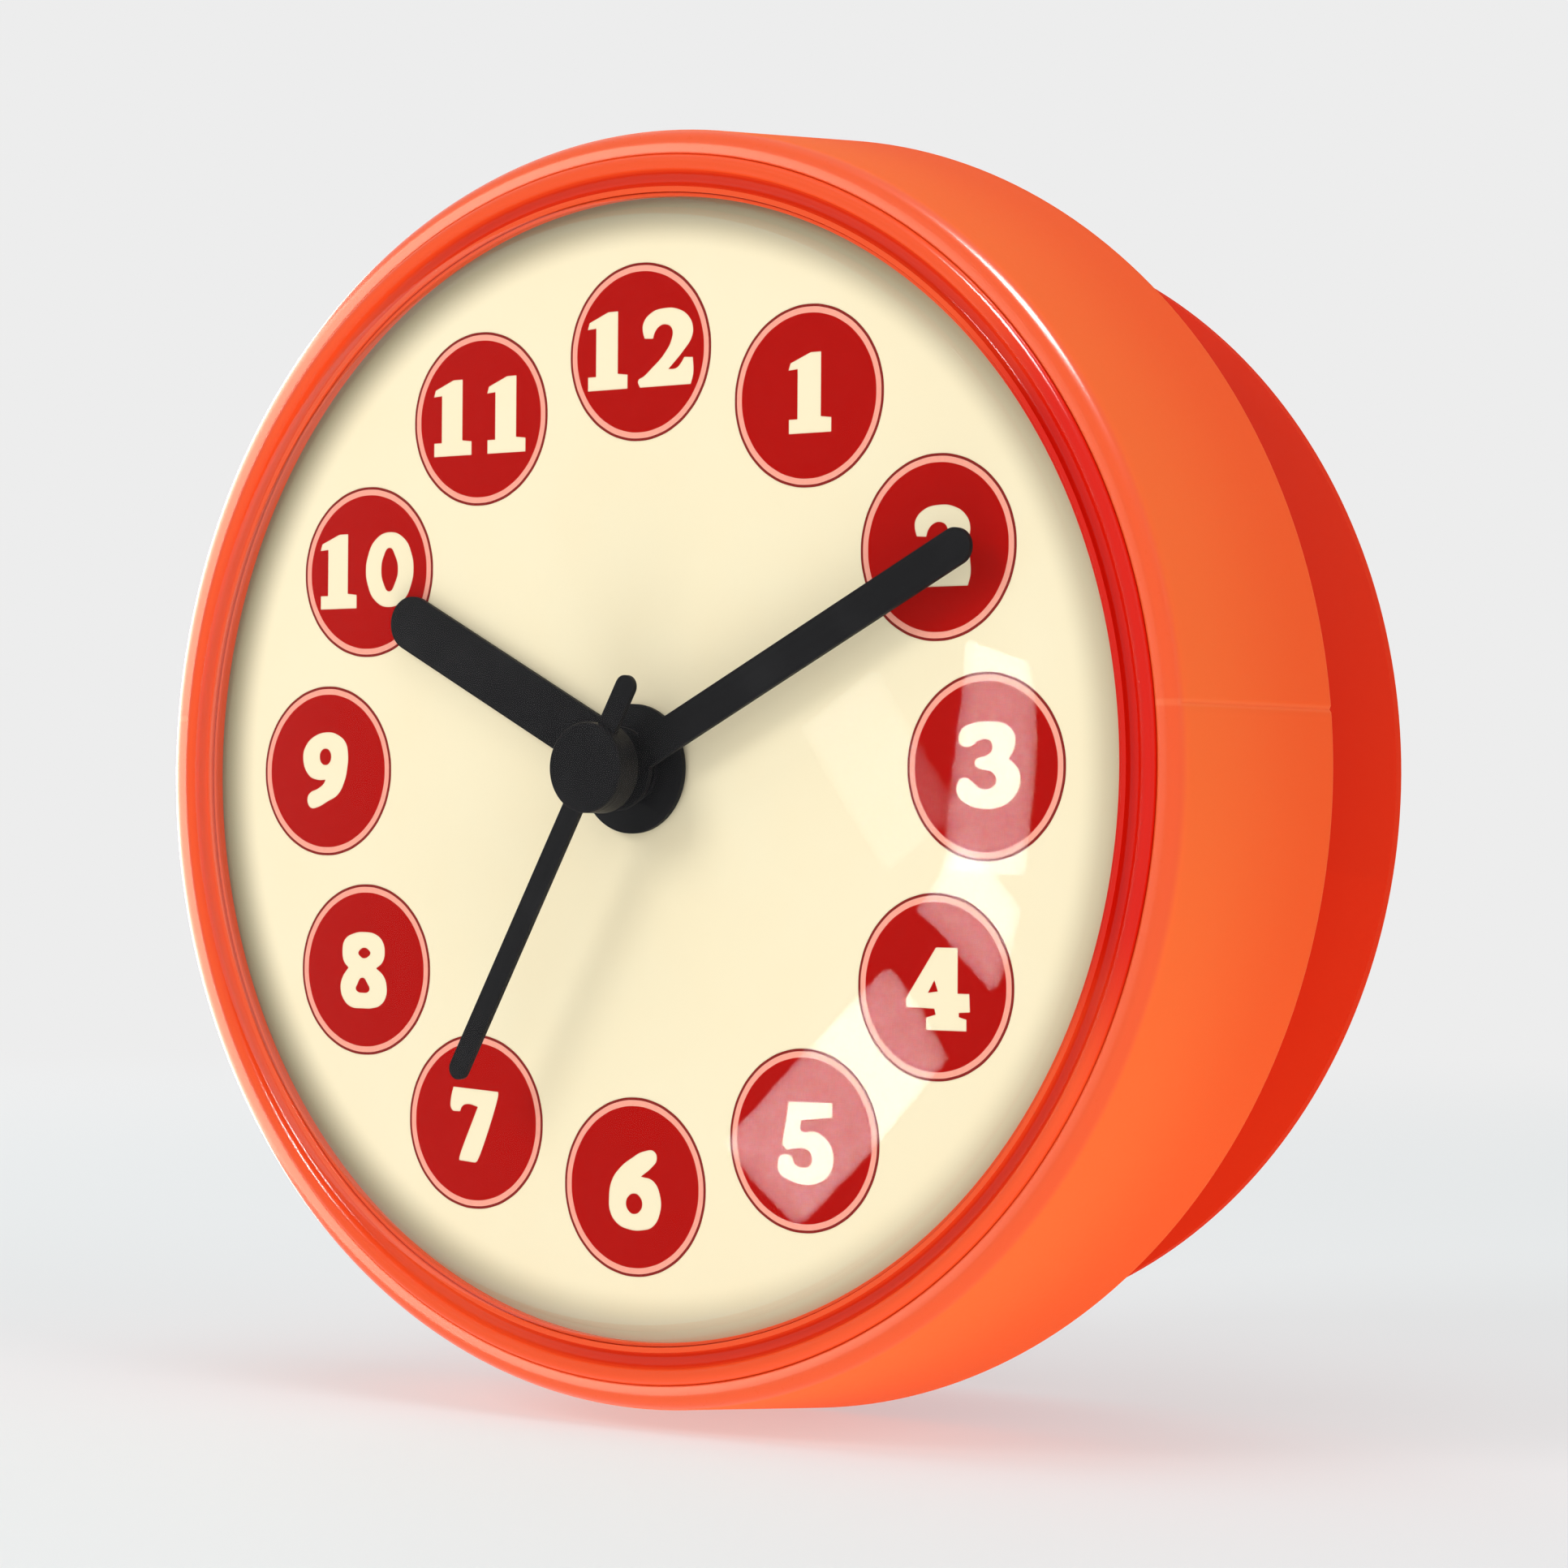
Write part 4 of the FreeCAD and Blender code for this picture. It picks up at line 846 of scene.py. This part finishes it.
def readOutline(text):
    points = []
    for word in text.split():
        x, y = word.rstrip("c").split(",")
        points.append((float(x), float(y)) if word.endswith("c") else (float(x), float(y), "smooth"))
    return points


def numeralOutlines(label, x, z):
    outlines = []
    across = 0
    for digit in label:
        shapes = [readOutline(text) for text in numerals[digit]]
        left = min(point[0] for point in shapes[0])
        right = max(point[0] for point in shapes[0])
        outlines += [[(across + point[0] - left, *point[1:]) for point in shape] for shape in shapes]
        across += right - left + printSet["gaps"].get(label, 0)
    width = across - printSet["gaps"].get(label, 0)
    scale = printSet["numeralHeight"] / 100
    return [
        [(x + (point[0] - width / 2) * scale, z + (point[1] - 50) * scale, *point[2:]) for point in shape]
        for shape in outlines
    ]


def makePrint():
    sizes = printSet
    front, back = sizes["card"] - sizes["ink"], sizes["card"]
    discs, halos, lines = [], [], []
    for hour in range(1, 13):
        x, z = spot(sizes["circle"], 30 * hour)
        numeral = numeralOutlines(str(hour), *spot(sizes["circle"] + sizes["numeralOut"], 30 * hour))
        discs.append(flatPlate([circleOutline(sizes["disc"], x, z), *numeral], front, back))
        halo = [circleOutline(sizes[part], x, z) for part in ("halo", "disc")]
        halos.append(flatPlate(halo, front, back))
        line = [circleOutline(sizes[part], x, z) for part in ("line", "halo")]
        lines.append(flatPlate(line, front, back))
    for part, pieces in (("discs", discs), ("halos", halos), ("lines", lines)):
        finishPiece(joinPieces(pieces), f"printed_{part}", "clock_insert", inkLook(part))


makePrint()
print("dial print done")


# Hands: flat blades with round ends, a hub and a collar, and the cap in front.

handSet = {
    "hour": {"front": -37.9, "back": -37.45, "length": 27.1, "width": 4.25, "hub": 4.9, "bearing": 297.5,
             "bore": 1.7, "collar": 2.6, "collarFront": -38.25, "collarBack": -37.85},
    "minute": {"front": -39.7, "back": -39.25, "length": 35.6, "width": 2.72, "hub": 3.15, "bearing": 62.9,
               "bore": 0.95, "collar": 2.1, "collarFront": -39.3, "collarBack": -38.55},
    "second": {"front": -42.95, "back": -42.5, "length": 27.0, "width": 1.72, "tail": 7.7, "hub": 3.4,
               "bearing": 208.95, "bore": 0.4, "collar": 3.4, "collarFront": -42.55, "collarBack": -41.3},
}
handEdge = 0.07
handBodies = {"hour": "hour", "minute": "minute", "second": "seconds"}
capSet = {"radius": 3.4, "front": -43.55, "back": -42.95, "round": 0.25}


def handOutline(length, width, hub, tail=0):
    half = width / 2
    neck = math.degrees(math.asin(half / hub))
    points = arc(half, 90, -90, length - half)
    if tail:
        points += arc(hub, -neck, neck - 180)
        points += arc(half, -90, -270, half - tail)
        points += arc(hub, -180 - neck, neck - 360)
    else:
        points += arc(hub, -neck, neck - 360)
    return points


def makeHand(name, front, back, length, width, hub, bearing, bore, collar, collarFront, collarBack, tail=0):
    blade = [turnedBy(handOutline(length, width, hub, tail), bearing), circleOutline(bore)]
    plate = flatPlate(blade, front, back, handEdge)
    outline = [(bore, collarFront), (collar, collarFront), (collar, collarBack), (bore, collarBack)]
    hand = joinPieces([plate, turned(outline, sides=64)])
    finishPiece(hand, f"{name}_blade", handBodies[name], handLook(), [f"{name}_hand"])


for handName, handSizes in handSet.items():
    makeHand(handName, **handSizes)


def makeCap():
    sizes = capSet
    radius, front, back, bend = sizes["radius"], sizes["front"], sizes["back"], sizes["round"]
    outline = [(0, front), (radius - bend, front, bend), (radius, front + bend), (radius, back), (0, back)]
    cap = turned(outline, sides=96)
    finishPiece(cap, "hand_cap", "seconds", handLook(), ["second_hand_cap"])


makeCap()
print("hands done")


# The rest of the frame keeps its shape and gets its finish.

def dressNodes(look, *names):
    for name in names:
        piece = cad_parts[name]
        piece.data.materials.clear()
        piece.data.materials.append(look)


jacketSet = {
    "foil": tone(52, 54, 58), "band": tone(190, 118, 66), "steel": tone(196, 196, 198),
    "bandFade": (10.5, 10.6), "steelFade": (21.3, 21.4), "foilMetal": 0.6,
    "grain": 1200, "grainDepth": 0.002, "roughness": 0.3, "uneven": 0.1,
}


def jacketLook():
    # battery jacket: a dark foil sleeve with a coppery band at the plus end and bare steel ends
    look = newLook("cell_jacket")
    sizes = jacketSet
    x, y, z = look.axes()
    band = look.step(x, *(along * mm for along in sizes["bandFade"]))
    steel = look.step(x.maths("ABSOLUTE", 0), *(along * mm for along in sizes["steelFade"]))
    grain = look.noise(sizes["grain"], 2)
    foil = look.blend(band, sizes["foil"], sizes["band"])
    return look.finish(look.principled({
        "Base Color": look.blend(steel, foil, sizes["steel"]),
        "Metallic": sizes["foilMetal"] + (1 - sizes["foilMetal"]) * steel,
        "Roughness": look.around(sizes["roughness"], grain, sizes["uneven"]),
        "Normal": look.bump(grain, sizes["grainDepth"]),
    }))


windingSet = {
    "gap": tone(120, 58, 30), "wire": tone(206, 122, 70), "turns": 1100, "turnDepth": 0.02, "metal": 0.8,
    "grain": 800, "roughness": 0.32, "uneven": 0.1, "enamel": 0.4,
}


def windingLook():
    # enamelled copper wire, laid in turns along the bobbin
    look = newLook("copper_wire")
    sizes = windingSet
    turns = look.node(
        "ShaderNodeTexWave", {"wave_type": "BANDS", "bands_direction": "X"},
        {"Vector": look.places(), "Scale": sizes["turns"], "Distortion": 0.3, "Detail": 1.0},
    )
    return look.finish(look.principled({
        "Base Color": look.blend(turns, sizes["gap"], sizes["wire"]), "Metallic": sizes["metal"],
        "Roughness": sizes["roughness"] + look.noise(sizes["grain"], 2) * sizes["uneven"],
        "Normal": look.bump(turns, sizes["turnDepth"]), "Coat Weight": sizes["enamel"],
    }))


boardSet = {
    "track": tone(58, 128, 78), "mask": tone(26, 92, 48), "tracks": 420.0, "trackFade": (0.06, 0.1),
    "trackDepth": 0.01, "grain": 900, "roughness": 0.35, "uneven": 0.1,
}


def boardLook():
    # green solder mask with faint copper tracks under it
    look = newLook("board")
    sizes = boardSet
    tracks = look.node(
        "ShaderNodeTexVoronoi", {"feature": "DISTANCE_TO_EDGE", "distance": "MANHATTAN"},
        {"Vector": look.places(), "Scale": sizes["tracks"]},
    )
    mask = look.step(tracks, *sizes["trackFade"])
    return look.finish(look.principled({
        "Base Color": look.blend(mask, sizes["track"], sizes["mask"]),
        "Roughness": sizes["roughness"] + look.noise(sizes["grain"], 2) * sizes["uneven"],
        "Normal": look.bump(mask, -sizes["trackDepth"]),
    }))


gears = mouldedLook("gear_plastic", tone(240, 238, 224), roughness=0.38, grain=2200, depth=0.002, mottle=0.03)
potting = mouldedLook("potting", tone(18, 18, 19), roughness=0.18, grain=300, depth=0.02)
springStrip = metalLook("spring_strip", tone(206, 202, 192), roughness=0.25, stretch=(8, 8, 1))
softIron = metalLook("soft_iron", tone(168, 168, 172), roughness=0.35, stretch=(1, 8, 8))
dressNodes(cardLook(), "dial_card")
dressNodes(mouldedLook("white_plastic", tone(232, 231, 226)), "dial_plate")
dressNodes(mouldedLook("case_plastic", tone(214, 70, 38)), "rear_case")
dressNodes(mouldedLook("movement_plastic", tone(36, 36, 38), 0.5), "movement_housing", "movement_cover")
dressNodes(gears, "train_bridge", "minute_arbor", "motion_wheel", "hour_wheel", "setting_knob",
           "intermediate_wheel", "seconds_wheel", "third_wheel", "centre_wheel", "coil_bobbin")
dressNodes(metalLook("screw_steel", tone(196, 197, 200), 0.28), "case_screws", "movement_screws",
           "quartz_crystal")
dressNodes(metalLook("magnet", tone(92, 92, 96), 0.5), "rotor")
dressNodes(softIron, "coil_core", "stator")
dressNodes(windingLook(), "coil_winding")
dressNodes(boardLook(), "circuit_board")
dressNodes(potting, "clock_chip")
dressNodes(springStrip, "contact_plus", "contact_minus")
dressNodes(jacketLook(), "battery_cell")
print("frame dressed")


# Reflections: the panes of a window, which the lens mirrors over the lower right of the dial, a soft
# box for the ring and the lip, and a strip of light along the lip's left side.

windowPane = {"reach": 0.59, "bright": 45, "shinesOn": ["lens_dome"]}
glintSet = {
    "pane_top": {**windowPane, "azimuth": -13.0, "elevation": 1.2, "size": (0.067, 0.115), "roll": -7},
    "pane_middle": {**windowPane, "azimuth": -13.9, "elevation": -6.7, "size": (0.083, 0.045), "roll": -38},
    "pane_low": {**windowPane, "azimuth": -23.3, "elevation": -15.3, "size": (0.071, 0.132), "roll": -51.5},
    "pane_far": {**windowPane, "azimuth": -20.6, "elevation": 0.8, "size": (0.05, 0.085), "roll": 35,
                 "bright": 10},
    "softbox": {"azimuth": 44, "elevation": 62, "reach": 0.5, "size": (0.2, 0.14), "bright": 50,
                "shinesOn": ["bezel_face", "sleeve_body"]},
    "strip": {"azimuth": -82, "elevation": 3, "reach": 0.5, "size": (1.1, 0.4), "bright": 9,
              "shinesOn": ["sleeve_body"], "shade": (1, 0.88, 0.7)},
}
for glintName, glintSizes in glintSet.items():
    placeLamp(glintName, **glintSizes)
print("reflections ready")
